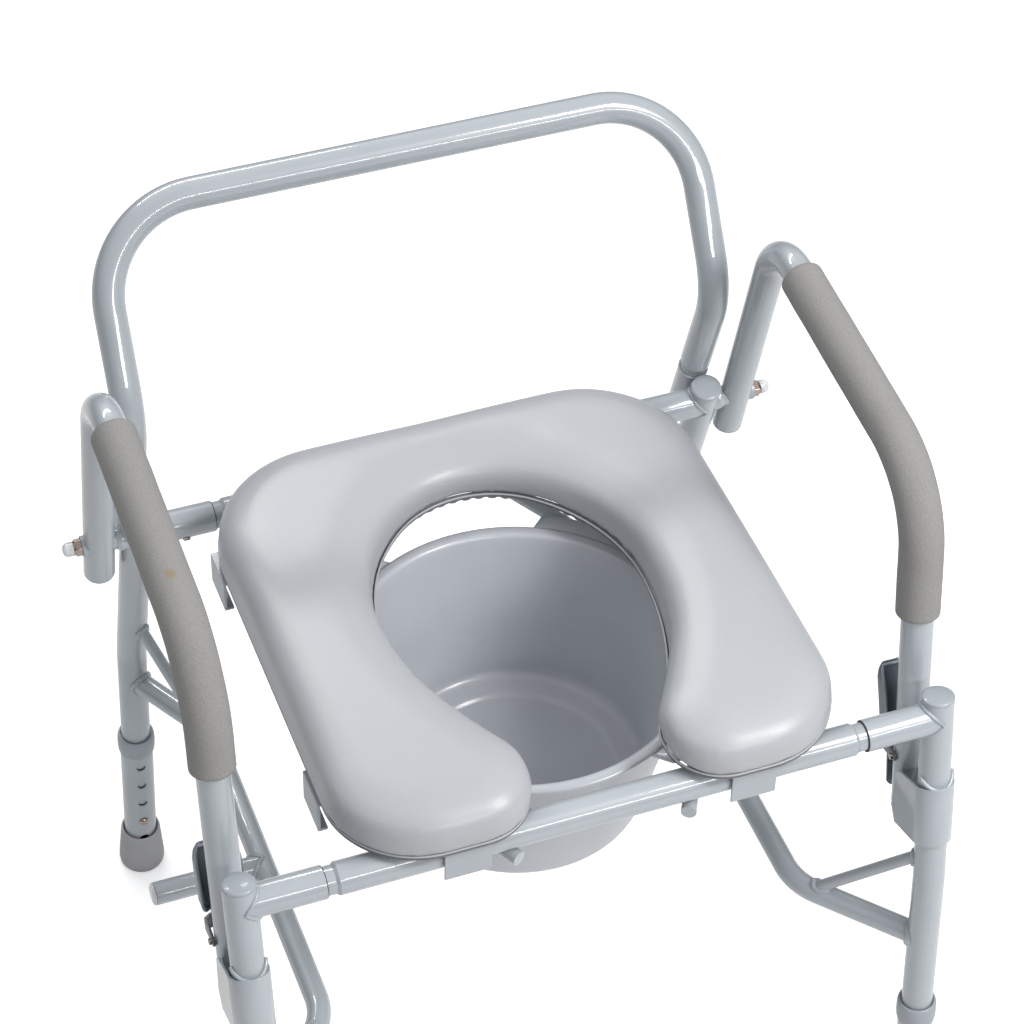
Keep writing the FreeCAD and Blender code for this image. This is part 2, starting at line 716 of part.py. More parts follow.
def arm_tube(side):
    key = side.name
    body = bent_pipe("Arm_" + key, "YZ_Plane", [arm_corner(i) for i in range(4)],
                     [full("arm_r1"), full("arm_r2")], TUBE, BORE)
    anchor(body, side.arm, "x", "arm_x", side.sign)
    pivot = cylinder("ArmBore_" + key, side.pivot(dim.arm_x - 20), side.outward,
                     half("pivot_bore"), 40)
    pin = cylinder("ArmPinHole_" + key, LEVER_PIN + side.arm - Vector(20, 0, 0), ALONG_X,
                   LEVER_PIN_R, 40)
    plunger = cylinder("ArmPlungerHole_" + key, PLUNGER + side.arm - ARM_REARWARD * 20,
                       ARM_REARWARD, PLUNGER_R + 0.06, 40)
    return cut("arm_" + key, body, pivot, pin, plunger)


def arm_foam(side):
    """Sleeve round the arm's top and front bend; its front end differs from side to side."""
    letter = side.name[0]
    foam = bent_pipe("Foam_" + side.name, "YZ_Plane",
                     [(frame_y("foam_y0"), full("foam_z0")),
                      arm_corner(2),
                      (frame_y("foam_y" + letter), full("foam_z" + letter))],
                     [full("arm_r2")], half("foam_od"), half("foam_id"))
    anchor(foam, side.arm, "x", "arm_x", side.sign)
    return foam


def arm_end_caps(side):
    """Plastic plugs in both arm tube ends."""
    caps = []
    head_h = 1.6
    for tag, end, direction in (("a", ARM_POINTS[0], ARM_REAR_DIR),
                                ("b", ARM_POINTS[3], ARM_FRONT_DIR)):
        key = tag + side.name
        base = end + side.arm
        head = cylinder("PlugHead_" + key, base + direction * SEAM, direction, TUBE, head_h)
        dome = cone("PlugDome_" + key, base + direction * (head_h + SEAM), direction,
                    TUBE_R, TUBE_R - 3, 1.6)
        plug = cylinder("PlugBody_" + key, base - direction * 12, direction, PLUG_R, 12.1)
        caps.append(fuse("plug_" + key, head, dome, plug))
    return caps


for side in SIDES:
    piece("arm_tube_" + side.name, arm_tube(side))
    piece("arm_foam_" + side.name, arm_foam(side))
    set_piece("arm_end_caps_" + side.name, arm_end_caps(side))


# ---------------------------------------------------------------- arm pivots
# Places along the pivot axis, outwards from the middle plane.
BOLT_HEAD_X = 227.0
BOLT_X = (229, 299.5)
BOSS_X = 249.5
BOSS_H = 9.0
SADDLE_IN_X = 262.15
SADDLE_OUT_END_X = 289.6
NUT_X = 289.8
NUT_H = 5.0
NUT_COLLAR_H = 1.6
DOME_X = 296.45
DOME_WALL_H = 4.2
DOME_SHOULDER_H = 2.6

BOSS_R = 10.4
SADDLE_R = 8.6
HEX_R = 7.5             # corner radius of bolt head and nut


def pivot_boss(side):
    """Boss on the rear leg, tapered at its outer end."""
    key = side.name
    leg = side.legs["rear"]
    body = cylinder("Boss_" + key, side.pivot(BOSS_X), side.outward, BOSS_R, BOSS_H)
    nose = cone("BossNose_" + key, side.pivot(BOSS_X + BOSS_H), side.outward, BOSS_R, 8.8, 3.5)
    cope = cylinder("BossCope_" + key, leg.upper(dim.pivot_z + 40), leg.upper_dir, COPE_R, 80)
    bore = cylinder("BossBore_" + key, side.pivot(240), side.outward, BOLT_CLEAR_R, 30)
    return cut("boss_" + key, fuse("bossb_" + key, body, nose), cope, bore)


def arm_saddles(side):
    """Washers shaped to the arm tube, on its inner and outer side."""
    saddles = []
    outer_start = dim.arm_x + 6
    for tag, start, length in (("In", SADDLE_IN_X, 8),
                               ("Out", outer_start, SADDLE_OUT_END_X - outer_start)):
        key = f"{tag}_{side.name}"
        blank = cylinder("Saddle" + key, side.pivot(start), side.outward, SADDLE_R, length)
        cope = cylinder("SaddleCope" + key, ARM_POINTS[1] + side.arm, ARM_REAR_DIR, COPE_R, 300)
        bore = cylinder("SaddleBore" + key, side.pivot(250), side.outward,
                        half("pivot_bore"), 60)
        saddles.append(cut("saddle" + key, blank, cope, bore))
    return saddles


def pivot_bolt(side):
    shank = cylinder("BoltShank_" + side.name, side.pivot(BOLT_X[0]), side.outward,
                     half("bolt_d"), BOLT_X[1] - BOLT_X[0])
    head = hexagon("BoltHead_" + side.name, side.pivot(BOLT_HEAD_X), side.outward, HEX_R, 5.3)
    return fuse("bolt_" + side.name, shank, head)


def pivot_nut(side):
    """Lock nut: a hexagon with a tapered collar."""
    key = side.name
    body = hexagon("Nut_" + key, side.pivot(NUT_X), side.outward, HEX_R, NUT_H)
    collar = cone("NutCollar_" + key, side.pivot(NUT_X + NUT_H), side.outward,
                  6.3, 5.6, NUT_COLLAR_H)
    bore = cylinder("NutBore_" + key, side.pivot(285), side.outward, half("bolt_d"), 20)
    return cut("nut_" + key, fuse("nutb_" + key, body, collar), bore)


def nut_dome(side):
    """Hollow domed cap over the end of the bolt."""
    key = side.name
    wall_r, neck_r = 5.8, 4.4
    shoulder_x = DOME_X + DOME_WALL_H
    wall = cylinder("DomeWall_" + key, side.pivot(DOME_X), side.outward, wall_r, DOME_WALL_H)
    shoulder = cone("DomeShoulder_" + key, side.pivot(shoulder_x), side.outward,
                    wall_r, neck_r, DOME_SHOULDER_H)
    top = cone("DomeTop_" + key, side.pivot(shoulder_x + DOME_SHOULDER_H), side.outward,
               neck_r, 2.0, 1.6)
    hollow = cylinder("DomeHollow_" + key, side.pivot(NUT_X + NUT_H + NUT_COLLAR_H),
                      side.outward, 4.4, 4.6)
    return cut("dome_" + key, fuse("dome_o_" + key, wall, shoulder, top), hollow)


for side in SIDES:
    set_piece("arm_saddles_" + side.name, arm_saddles(side))
set_piece("pivot_bosses", [pivot_boss(side) for side in SIDES])
set_piece("pivot_bolts", [pivot_bolt(side) for side in SIDES])
set_piece("pivot_nuts", [pivot_nut(side) for side in SIDES])
set_piece("nut_dome_caps", [nut_dome(side) for side in SIDES])


# ---------------------------------------------------------------- arm latches
BRACKET_INNER = 13.9    # half opening of the bracket
BRACKET_OUTER = BRACKET_INNER + 2.0
BRACKET_DEPTH = 60
# Bracket seen from the side: y behind the front leg tops, z from the leg top.
BRACKET_OUTLINE = [(-48, -69), (12, -94), (17.5, -100), (17.5, -137), (9, -150), (-50, -130)]

# Lever seen from the side: distance behind the front tube's axis, distance down it from the pin.
LEVER_OUTLINE = [
    (30.0, -69), (33.0, -67), (34.2, -62), (29.0, -48), (25.0, -30), (22.9, -8), (22.3, 6),
    (22.1, 8), (7, 8), (4, 7), (-3, 6), (-5, 2), (-5, -2), (-3, -6), (4, -8), (9, -16),
    (11, -30), (13, -48), (16, -58), (22, -65)]
LEVER_HOLLOW = [
    (27.4, -75), (31.4, -62), (26.4, -48), (22.4, -30), (20.4, -8), (19.6, 8), (19.6, 12),
    (-20, 12), (-20, -75)]
LEVER_TAIL = [
    (22.3, 6), (20.6, 30), (20.0, 48), (19.0, 50), (17.8, 49), (18.1, 30), (19.8, 6)]


def latch_bracket(side):
    """Plate bent round the front of the leg, open to the rear."""
    inner, outer, depth = BRACKET_INNER, BRACKET_OUTER, BRACKET_DEPTH
    leg = side.legs["front"]
    corners = [Vector(x, y, 0) for x, y in (
        (-outer, depth), (-outer, 0), (outer, 0), (outer, depth),
        (inner, depth), (inner, 0), (-inner, 0), (-inner, depth))]
    outline = Part.Wire([
        segment(corners[0], corners[1]),
        arc_through(corners[1], Vector(0, -outer, 0), corners[2]),
        segment(corners[2], corners[3]),
        segment(corners[3], corners[4]),
        segment(corners[4], corners[5]),
        arc_through(corners[5], Vector(0, -inner, 0), corners[6]),
        segment(corners[6], corners[7]),
        segment(corners[7], corners[0])])
    channel = feature("BracketU_" + side.name, Part.Face(outline).extrude(Vector(0, 0, 130)))
    up = leg.upper_dir * -1
    channel.Placement = frame(ALONG_X, up.cross(ALONG_X), up, leg.upper(dim.leg_top_z - 175))
    outline = [(y - dim.y_shift, dim.leg_top_z + z) for y, z in BRACKET_OUTLINE]
    plate = prism("BracketSide_" + side.name, outline, 60, leg.top.x)
    return common("bracket_" + side.name, channel, plate)


def keeper_block(side):
    """Block between the leg and the arm tube, with the blind hole the plunger enters."""
    leg = side.legs["front"]
    top, bottom = dim.leg_top_z - 96, dim.leg_top_z - 146
    off_leg, off_arm = 12.95, -14.1
    outline = [(leg.upper(top).y + off_leg, top), (arm_front_at(top).y + off_arm, top),
               (arm_front_at(bottom).y + off_arm, bottom), (leg.upper(bottom).y + off_leg, bottom)]
    block = prism("Keeper_" + side.name, outline, 25.0, leg.top.x)
    hole = cylinder("KeeperHole_" + side.name, PLUNGER + side.arm - ARM_REARWARD * 21,
                    ARM_REARWARD, PLUNGER_R + 0.3, 20)
    return cut("keeper_" + side.name, block, hole)


def lever_prism(name, side, outline, width):
    points = [LEVER_PIN + ARM_REARWARD * behind + ARM_FRONT_DIR * down
              for behind, down in outline]
    return prism(name + side.name, [(p.y, p.z) for p in points], width, side.arm.x)


def release_lever(side):
    """Channel behind the front tube with a flared top and a tail, on a cross pin."""
    key = side.name
    width, wall = 33.2, 2.0
    blank = lever_prism("LeverBlank_", side, LEVER_OUTLINE, width)
    hollow = lever_prism("LeverHollow_", side, LEVER_HOLLOW, width - 2 * wall)
    tail = lever_prism("LeverTail_", side, LEVER_TAIL, 24.6)
    bore = cylinder("LeverBore_" + key, LEVER_PIN + side.arm - Vector(30, 0, 0), ALONG_X,
                    LEVER_PIN_R + 0.06, 60)
    # Slot that the plunger passes through, centred 20 mm behind the tube's axis.
    slot_w, slot_depth, slot_h = 8.4, 20, 15
    slot = box("LeverSlot_" + key, (0, slot_w), (0, slot_depth), (0, slot_h))
    turn = FreeCAD.Rotation(ALONG_Z, ARM_FRONT_DIR * -1)
    corner = turn.multVec(Vector(-slot_w / 2, -slot_depth / 2, -slot_h / 2))
    slot.Placement = FreeCAD.Placement(PLUNGER + side.arm + ARM_REARWARD * 20 + corner, turn)
    channel = cut("levc_" + key, blank, hollow)
    return cut("lever_" + key, fuse("levb_" + key, channel, tail), bore, slot)


def lever_pin(side):
    half_length = 17.6
    return cylinder("LeverPin_" + side.name, LEVER_PIN + side.arm - Vector(half_length, 0, 0),
                    ALONG_X, LEVER_PIN_R, 2 * half_length)


def latch_plunger(side):
    """Pin with a spring collar and a head behind the lever."""
    # Columns: name, start behind the tube's axis, radius, length.
    sections = (("Shank", -13.5, PLUNGER_R, 37.3), ("Collar", -5, 4.6, 2.0),
                ("Head", 22.4, 5.6, 2.4))
    parts = [cylinder(f"Plunger{tag}_{side.name}", PLUNGER + side.arm + ARM_REARWARD * start,
                      ARM_REARWARD, radius, length)
             for tag, start, radius, length in sections]
    return fuse("plunger_" + side.name, *parts)


def plunger_spring(side):
    pitch, length, coil_r, wire_r = 2.6, 12.6, 4.3, 0.45
    helix = Part.makeHelix(pitch, length, coil_r)
    coil = pipe_solid(Part.Wire(helix.Edges), wire_r, frenet=True)
    return place(feature("PlungerSpring_" + side.name, coil),
                 PLUNGER + side.arm - ARM_REARWARD * 2.4, ARM_REARWARD)


for side in SIDES:
    piece("release_lever_" + side.name, release_lever(side))
    piece("lever_pin_" + side.name, lever_pin(side))
    piece("latch_plunger_" + side.name, latch_plunger(side))
    piece("plunger_spring_" + side.name, plunger_spring(side))
set_piece("latch_brackets", [latch_bracket(side) for side in SIDES])
set_piece("keeper_blocks", [keeper_block(side) for side in SIDES])


# ---------------------------------------------------------------- backrest
BACK_JOINT_Z = dim.leg_top_z + 12       # full-width tube starts here, the neck is below
BACK_NECK_END_Z = dim.leg_top_z - 40
BACK_SOCKET_Z = dim.leg_top_z - 44
BACK_SOCKET_RISE = 46
BACK_BUTTON_Z = dim.leg_top_z - 18
BACK_BUTTON_R = 2.5
BACK_TAPER = 5


def backrest_shape():
    """One bent tube over both uprights, with a tapered neck at each foot."""
    runs = []
    for side in SIDES:
        top = world(side.sign * (dim.back_x - 2.1), dim.back_p2_y, dim.back_p2_z)
        runs.append([side.back(BACK_JOINT_Z), side.back_bend, top])
    wire = round_wire(runs[0] + runs[1][::-1],
                      [dim.back_r1, dim.back_r2, dim.back_r2, dim.back_r1])
    neck_r, neck_bore_r = dim.neck_od / 2, dim.neck_id / 2
    shape = pipe_solid(wire, TUBE_R).cut(pipe_solid(wire, BORE_R))
    for side in SIDES:
        up = side.back_dir
        joint = side.back(BACK_JOINT_Z)
        neck_end = side.back(BACK_NECK_END_Z)
        taper_base = joint - up * BACK_TAPER
        taper = Part.makeCone(neck_r, TUBE_R, BACK_TAPER, taper_base, up)
        taper = taper.cut(Part.makeCone(neck_bore_r, BORE_R, BACK_TAPER, taper_base, up))
        neck = Part.makeCylinder(neck_r, (taper_base - neck_end).Length, neck_end, up)
        bore = Part.makeCylinder(neck_bore_r, (joint - neck_end).Length, neck_end, up)
        shape = shape.fuse(taper).fuse(neck.cut(bore))
        shape = shape.cut(Part.makeCylinder(BACK_BUTTON_R + 0.1, 20, side.back(BACK_BUTTON_Z),
                                            side.back_button_dir))
    return shape.removeSplitter()


def backrest_socket(side):
    """Tube behind the rear leg that takes the backrest's neck."""
    key = side.sign
    up = side.back_dir
    leg = side.legs["rear"]
    base = side.back(BACK_SOCKET_Z)
    outer = cylinder(f"BackSocket{key}", base, up, TUBE, BACK_SOCKET_RISE / up.z)
    bore = cylinder(f"BackSocketBore{key}", base - up * 2, up, BORE, 60)
    hole = cylinder(f"BackSocketHole{key}", side.back(BACK_BUTTON_Z), side.back_button_dir,
                    BACK_BUTTON_R + 0.2, 20)
    cope = cylinder(f"BackSocketCope{key}", leg.upper(dim.leg_top_z + 20), leg.upper_dir,
                    COPE_R, 140)
    return cut(f"bsock{key}", outer, bore, hole, cope)


def backrest_button(side):
    centre = side.back(BACK_BUTTON_Z)
    out = side.back_button_dir
    start, stem_h = 9.5, 4.2
    stem = cylinder(f"BackButton{side.sign}", centre + out * start, out, BACK_BUTTON_R, stem_h)
    dome = cone(f"BackButtonDome{side.sign}", centre + out * (start + stem_h), out,
                BACK_BUTTON_R, 1.3, 1.3)
    return fuse(f"bbtn{side.sign}", stem, dome)


piece("backrest_tube", feature("Backrest", backrest_shape()))
set_piece("backrest_sockets", [backrest_socket(side) for side in SIDES])
set_piece("backrest_buttons", [backrest_button(side) for side in SIDES])


# ---------------------------------------------------------------- leg extensions
# Snap button's V spring: distance in front of the leg axis, distance up from the button.
BUTTON_SPRING = [
    (10.2, -8), (10.2, 8), (4.0, 24), (0.5, 30), (-3.0, 24), (-10.3, 0), (-9.6, 0),
    (-2.4, 23.2), (0.5, 28.4), (3.2, 23.4), (9.4, 7.8), (9.4, -8)]
BUTTON_SPRING_W = 7.0


def leg_extension(leg):
    """Outer tube with a row of five adjustment holes in its front wall."""
    up = leg.lower_dir * -1
    low = leg.lower(dim.ext_end_z)
    length = (leg.lower(dim.ext_top_z) - low).Length
    outer = cylinder("Ext_" + leg.name, low, up, half("ext_od"),
                     (length, "(Dims.ext_top_z - Dims.ext_end_z)"
                              f" * {-1 / leg.lower_dir.z:.9f} * 1mm"))
    tools = [cylinder("ExtBore_" + leg.name, low - up * 5, up, half("ext_id"), length + 10)]
    # One hole lies below the snap button's, three above it.
    for step in range(-1, 4):
        centre = leg.lower(dim.button_z) + up * (step * dim.hole_pitch)
        tools.append(cylinder(f"ExtHole_{leg.name}_{step + 1}", centre, leg.face,
                              half("hole_d"), 20))
    return cut("ext_" + leg.name, outer, *tools)


def leg_collar(leg):
    """Plastic ring gripping the top of the extension."""
    up = leg.lower_dir * -1
    bottom, top = leg.lower(dim.collar_z0), leg.lower(dim.collar_z1)
    height = (top - bottom).Length
    ext_r = dim.ext_od / 2
    foot_h, lip_h = 7.0, 3.0
    body = fuse("collar_o_" + leg.name,
                cone("CollarFoot_" + leg.name, bottom, up, ext_r + 0.5, dim.collar_r, foot_h),
                cylinder("CollarBand_" + leg.name, bottom + up * foot_h, up,
                         dim.collar_r, height - foot_h - lip_h),
                cone("CollarLip_" + leg.name, top - up * lip_h, up,
                     dim.collar_r, dim.collar_r - 1.2, lip_h))
    overlap = (leg.lower(dim.ext_top_z) - bottom).Length
    bore = cylinder("CollarBore_" + leg.name, bottom - up, up, ext_r + SEAM, overlap + 1 + SEAM)
    neck = cylinder("CollarNeck_" + leg.name, bottom, up, TUBE_R + 0.35, height + 2)
    return cut("collar_" + leg.name, body, bore, neck)


def foot_tip(leg):
    """Moulded cup, flared towards the floor and cut flat at Z = 0."""
    up = leg.lower_dir * -1
    foot = leg.lower(-2)
    height = (leg.lower(dim.tip_h) - foot).Length
    edge_h, tread_h = 5.0, 7.0
    taper_start = edge_h + tread_h
    tip = fuse("tip_o_" + leg.name,
               cone("TipTaper_" + leg.name, foot + up * taper_start, up,
                    dim.tip_r0, dim.tip_r1, height - taper_start),
               cylinder("TipTread_" + leg.name, foot + up * edge_h, up, dim.tip_r0, tread_h),
               cone("TipEdge_" + leg.name, foot, up, dim.tip_r0 - 1.8, dim.tip_r0, edge_h))
    bore = cylinder("TipBore_" + leg.name, leg.lower(dim.ext_end_z) - up * 0.3, up,
                    dim.ext_od / 2 + 0.05, 60)
    centre = leg.lower(0)
    reach = 40
    below_floor = box("TipFloor_" + leg.name, (centre.x - reach, centre.x + reach),
                      (centre.y - reach, centre.y + reach), (-30, 0))
    return cut("tip_" + leg.name, tip, bore, below_floor)


def leg_button(leg):
    """Snap button on its V spring, inside the leg tube."""
    up = leg.lower_dir * -1
    out = leg.face
    centre = leg.lower(dim.button_z)
    button_r, start = 3.9, 9.9
    stem = cylinder("Button_" + leg.name, centre + out * start, out, button_r, 5.4)
    ball = doc.addObject("Part::Sphere", "ButtonDome_" + leg.name)
    place(ball, centre + out * 13.2)
    ball.Radius = 4.4
    trim = cylinder("ButtonTrim_" + leg.name, centre + out * start, out, button_r, 9)
    dome = common("button_dome_" + leg.name, ball, trim)
    points = [centre + out * ahead + up * rise for ahead, rise in BUTTON_SPRING]
    across = out.cross(up).normalize()
    outline = Part.Face(Part.makePolygon(points + [points[0]]))
    strip = outline.extrude(across * BUTTON_SPRING_W)
    strip.translate(across * (-BUTTON_SPRING_W / 2))
    spring = feature("ButtonSpring_" + leg.name, strip)
    return fuse("button_" + leg.name, stem, dome, spring)


for leg in LEGS:
    piece("leg_extension_" + leg.name, leg_extension(leg))
    piece("leg_collar_" + leg.name, leg_collar(leg))
    piece("foot_tip_" + leg.name, foot_tip(leg))
    piece("leg_button_" + leg.name, leg_button(leg))


# ---------------------------------------------------------------- bucket supports and bucket
BUCKET_Y = dim.bucket_y - dim.y_shift


def bow_tangent(point, sign):
    """Direction from a point along the tangent to the bow circle, on the outer side."""
    to_centre = Vector(0, BUCKET_Y, dim.support_z) - point
    spread = math.asin(dim.support_r / to_centre.Length)
    middle = math.atan2(to_centre.y, to_centre.x)
    candidates = [Vector(math.cos(middle + s * spread), math.sin(middle + s * spread), 0)
                  for s in (-1, 1)]
    return max(candidates, key=lambda direction: direction.x * sign)


def bucket_support(side):
    """Rod from the front to the rear crossbar, bowed outwards round the bucket."""
    sign = side.sign
    front = world(sign * 67, -15, dim.support_z)
    rear = world(sign * 38, 396, dim.support_z)
    front_dir, rear_dir = bow_tangent(front, sign), bow_tangent(rear, sign)
    # The path's corner is where both tangents meet.
    run = (rear - front).cross(rear_dir).z / front_dir.cross(rear_dir).z
    corner = front + front_dir * run
    body = bent_pipe("Support_" + side.name, "XY_Plane",
                     [(point.x, point.y) for point in (front, corner, rear)],
                     [full("support_r")], half("support_d"))
    anchor(body, Vector(0, 0, dim.support_z), "z", "support_z")
    copes = [cylinder(f"SupportCope{end}{sign}", at_bar(end, -300), ALONG_X, COPE_R, 600)
             for end in ("front", "rear")]
    return cut(f"support{sign}", body, *copes)


def below_rim(drop):
    """Height above the bucket's base of a point this far below its rim."""
    return (dim.bucket_top_z - dim.bucket_bot_z - drop,
            f"(Dims.bucket_top_z - Dims.bucket_bot_z - {drop}) * 1mm")


def bucket_shell():
    """Turned shell with a rolled rim."""
    base_r, wall_r, wall = dim.bucket_r0, dim.bucket_r1, dim.bucket_wall
    body = doc.addObject("PartDesign::Body", "BucketShell")
    sketch = sketch_on(body, "BucketProfile", "XZ_Plane")
    # Half section: radius, height above the base; outside first, then back down the inside.
    draw_polygon(sketch, [
        (0, 3.0), (80, 3.0), (80, 0), (base_r - 8, 0),
        (full("bucket_r0"), 8),
        (full("bucket_r1"), below_rim(5)),
        (full("bucket_rim_r"), below_rim(4.2)),
        (full("bucket_rim_r"), below_rim(1)),
        ((dim.bucket_rim_r - 2, "(Dims.bucket_rim_r - 2) * 1mm"), below_rim(0)),
        ((wall_r - wall + 1, "(Dims.bucket_r1 - Dims.bucket_wall + 1) * 1mm"), below_rim(0)),
        (wall_r - wall - 0.4, below_rim(2.5)),
        (base_r - wall + 2.5, 22), (base_r - wall - 6, 12),
        (84, 8.5), (80, 5.8), (0, 5.8)])
    doc.recompute()
    turned = body.newObject("PartDesign::Revolution", "BucketRevolve")
    turned.Profile = sketch
    turned.ReferenceAxis = (sketch, ["V_Axis"])
    turned.Angle = 360
    doc.recompute()
    body.Tip = turned
    anchor(body, Vector(0, BUCKET_Y, dim.bucket_bot_z), "z", "bucket_bot_z")
    return body


def bucket_wing(sign):
    """Flat sector on one side of the bucket that sits on the support rod."""
    wing = cylinder(f"Wing{sign}", Vector(), None, full("wing_r"), 3.0)
    set_size(wing, "Angle", (2 * dim.wing_deg, "2 * Dims.wing_deg * 1deg"))
    start = (180 if sign < 0 else 0) - dim.wing_deg
    wing.Placement = FreeCAD.Placement(Vector(0, BUCKET_Y, dim.bucket_top_z - 4.9),
                                       FreeCAD.Rotation(ALONG_Z, start))
    return wing


def bucket():
    shell = bucket_shell()
    wings = fuse("wings", bucket_wing(-1), bucket_wing(1))
    hole = cylinder("WingHole", Vector(0, BUCKET_Y, dim.bucket_top_z - 10), ALONG_Z,
                    dim.bucket_r1 - 0.8, 20)
    return fuse("bucket", shell, cut("wings", wings, hole))


set_piece("bucket_support_rods", [bucket_support(side) for side in SIDES])
piece("bucket", bucket())


# ---------------------------------------------------------------- seat
# The opening's side arcs run forward from the widest line.
OPENING_SIDE_R = 262.0
OPENING_SIDE_RUN = 140.0
# Radii of one half of the seat: rear corner, front corner, lobe, foot of the side arc.
SEAT_REAR_R = 97
SEAT_FRONT_R = 78
SEAT_LOBE_R = 44
SEAT_ARC_FOOT_R = 40


def seat_half(inset, sign):
    """Outer edge, front lobe and side arc of the opening for one side, drawn on +X."""
    edge_x = dim.pad_half - inset
    front_y = dim.pad_y0 + inset - dim.y_shift
    rear_y = dim.pad_y1 - inset - dim.y_shift
    widest_y = dim.hole_yc - dim.y_shift
    opening_x = dim.hole_half + inset + sign * dim.hole_dx
    slot_x = dim.slot_half + inset + sign * dim.hole_dx
    arc_r = OPENING_SIDE_R + inset
    arc_x = opening_x - arc_r
    arc_end = Vector(arc_x + math.sqrt(arc_r ** 2 - OPENING_SIDE_RUN ** 2),
                     widest_y - OPENING_SIDE_RUN, 0)
    # The straight in front of the side arc leaves it tangentially.
    slope = math.tan(math.asin(OPENING_SIDE_RUN / arc_r))
    slot_corner = Vector(slot_x, arc_end.y - (arc_end.x - slot_x) / slope, 0)
    run = round_wire(
        [Vector(0, rear_y, 0), Vector(edge_x, rear_y, 0), Vector(edge_x, front_y, 0),
         Vector(slot_x, front_y, 0), slot_corner, arc_end],
        [SEAT_REAR_R - inset, SEAT_FRONT_R - inset, SEAT_LOBE_R - inset, SEAT_ARC_FOOT_R])
    middle_angle = 0.29
    middle = Vector(arc_x + arc_r * math.cos(middle_angle),
                    widest_y - arc_r * math.sin(middle_angle), 0)
    arc = arc_through(arc_end, middle, Vector(opening_x, widest_y, 0))
    return Part.Wire(run.Edges + [arc])


def opening_rear(inset):
    """Rear of the opening: a long arc from each side and a tighter one across the back."""
    widest_y = dim.hole_yc - dim.y_shift
    half_width, back_r = dim.hole_half, dim.hole_back_r
    rise = dim.hole_back - back_r
    long_r = (half_width ** 2 + rise ** 2 - back_r ** 2) / (2 * (half_width - back_r))
    turn = math.atan2(rise, long_r - half_width)

    def on_arc(sign, angle):
        radius = long_r + inset
        return Vector(dim.hole_dx + sign * (half_width - long_r + radius * math.cos(angle)),
                      widest_y + radius * math.sin(angle), 0)

    arcs = [arc_through(on_arc(sign, 0), on_arc(sign, turn / 2), on_arc(sign, turn))
            for sign in (-1, 1)]
    back = Vector(dim.hole_dx, widest_y + dim.hole_back + inset, 0)
    arcs.append(arc_through(on_arc(-1, turn), back, on_arc(1, turn)))
    return arcs


def seat_face(inset):
    """Open-front seat outline: rounded square with an egg-shaped opening to the front."""
    right = seat_half(inset, 1)
    left = seat_half(inset, -1).mirror(Vector(), ALONG_X)
    edges = right.Edges + opening_rear(inset) + left.Edges
    return Part.Face(Part.Wire(Part.__sortEdges__(edges)))


def seat_board():
    shape = seat_face(12.0).extrude(Vector(0, 0, dim.board_t))
    return place(feature("SeatBoard", shape), Vector(0, 0, dim.board_z))


def seat_pad():
    shape = seat_face(0).extrude(Vector(0, 0, dim.pad_t))
    top_edges = [e for e in shape.Edges if e.BoundBox.ZMin > dim.pad_t - 0.01]
    shape = shape.makeFillet(15.0, top_edges)
    return place(feature("SeatPad", shape), Vector(0, 0, dim.board_z + dim.board_t + SEAM))


piece("seat_board", seat_board())
piece("seat_pad", seat_pad())


# ---------------------------------------------------------------- seat clips
CLIP_TOP_Z = dim.board_z - SEAM
CLIP_HALF = dim.clip_w / 2


def front_clip(sign, centre_x):
    """Inverted channel that drops over the front bar."""
    y = BAR_Y["front"] - dim.y_shift
    inner, outer = 13.9, 15.9       # faces of the channel's walls from the bar's axis
    x_span = (centre_x - CLIP_HALF, centre_x + CLIP_HALF)
    top = box(f"FClipTop{sign}", x_span, (y - outer, y + outer),
              (dim.bar_z + TUBE_R + 0.1, CLIP_TOP_Z))
    front = box(f"FClipFront{sign}", x_span, (y - outer, y - inner),
                (dim.bar_z - 15.5, CLIP_TOP_Z))
    rear = box(f"FClipRear{sign}", x_span, (y + inner, y + outer), (dim.bar_z - 9, CLIP_TOP_Z))
    return fuse(f"fclip{sign}", top, front, rear)


def rear_clip(sign, centre_x):
    """C section snapped round the rear bar, the seat's hinge."""
    y = BAR_Y["rear"] - dim.y_shift
    start_x, end_x = centre_x - CLIP_HALF, centre_x + CLIP_HALF
    ring = cylinder(f"RClipRing{sign}", Vector(start_x, y, dim.bar_z), ALONG_X,
                    TUBE_R + 2.3, dim.clip_w)
    web = box(f"RClipTop{sign}", (start_x, end_x), (y - 13, y + 13), (dim.bar_z + 5, CLIP_TOP_Z))
    bore = cylinder(f"RClipBore{sign}", Vector(start_x - 1, y, dim.bar_z), ALONG_X,
                    TUBE_R + 0.09, dim.clip_w + 2)
    mouth_z = dim.bar_z - 25
    mouth = prism(f"RClipMouth{sign}", [(y, dim.bar_z), (y - 9.5, mouth_z), (y + 9.5, mouth_z)],
                  dim.clip_w + 4, centre_x)
    above = box(f"RClipLimit{sign}", (start_x - 1, end_x + 1), (y - 40, y + 40),
                (CLIP_TOP_Z, CLIP_TOP_Z + 20))
    return cut(f"rclip{sign}", fuse(f"rclipb{sign}", ring, web), bore, mouth, above)


def side_clip(sign, tag, y_start, y_end):
    """Hooked plate hanging below the board's side edge."""
    outer_x = 198.8
    thick = 2
    low_z = dim.board_z - 29
    y_span = (y_start - dim.y_shift, y_end - dim.y_shift)
    # Columns: name, inner x, bottom, top.
    walls = (("Plate", 196.6, low_z, CLIP_TOP_Z),
             ("Flange", 178, CLIP_TOP_Z - thick, CLIP_TOP_Z),
             ("Hook", 191, low_z, low_z + thick))
    parts = [box(f"SClip{name}{tag}{sign}", sorted((sign * inner_x, sign * outer_x)),
                 y_span, (bottom, top)) for name, inner_x, bottom, top in walls]
    return fuse(f"sclip{tag}{sign}", *parts)


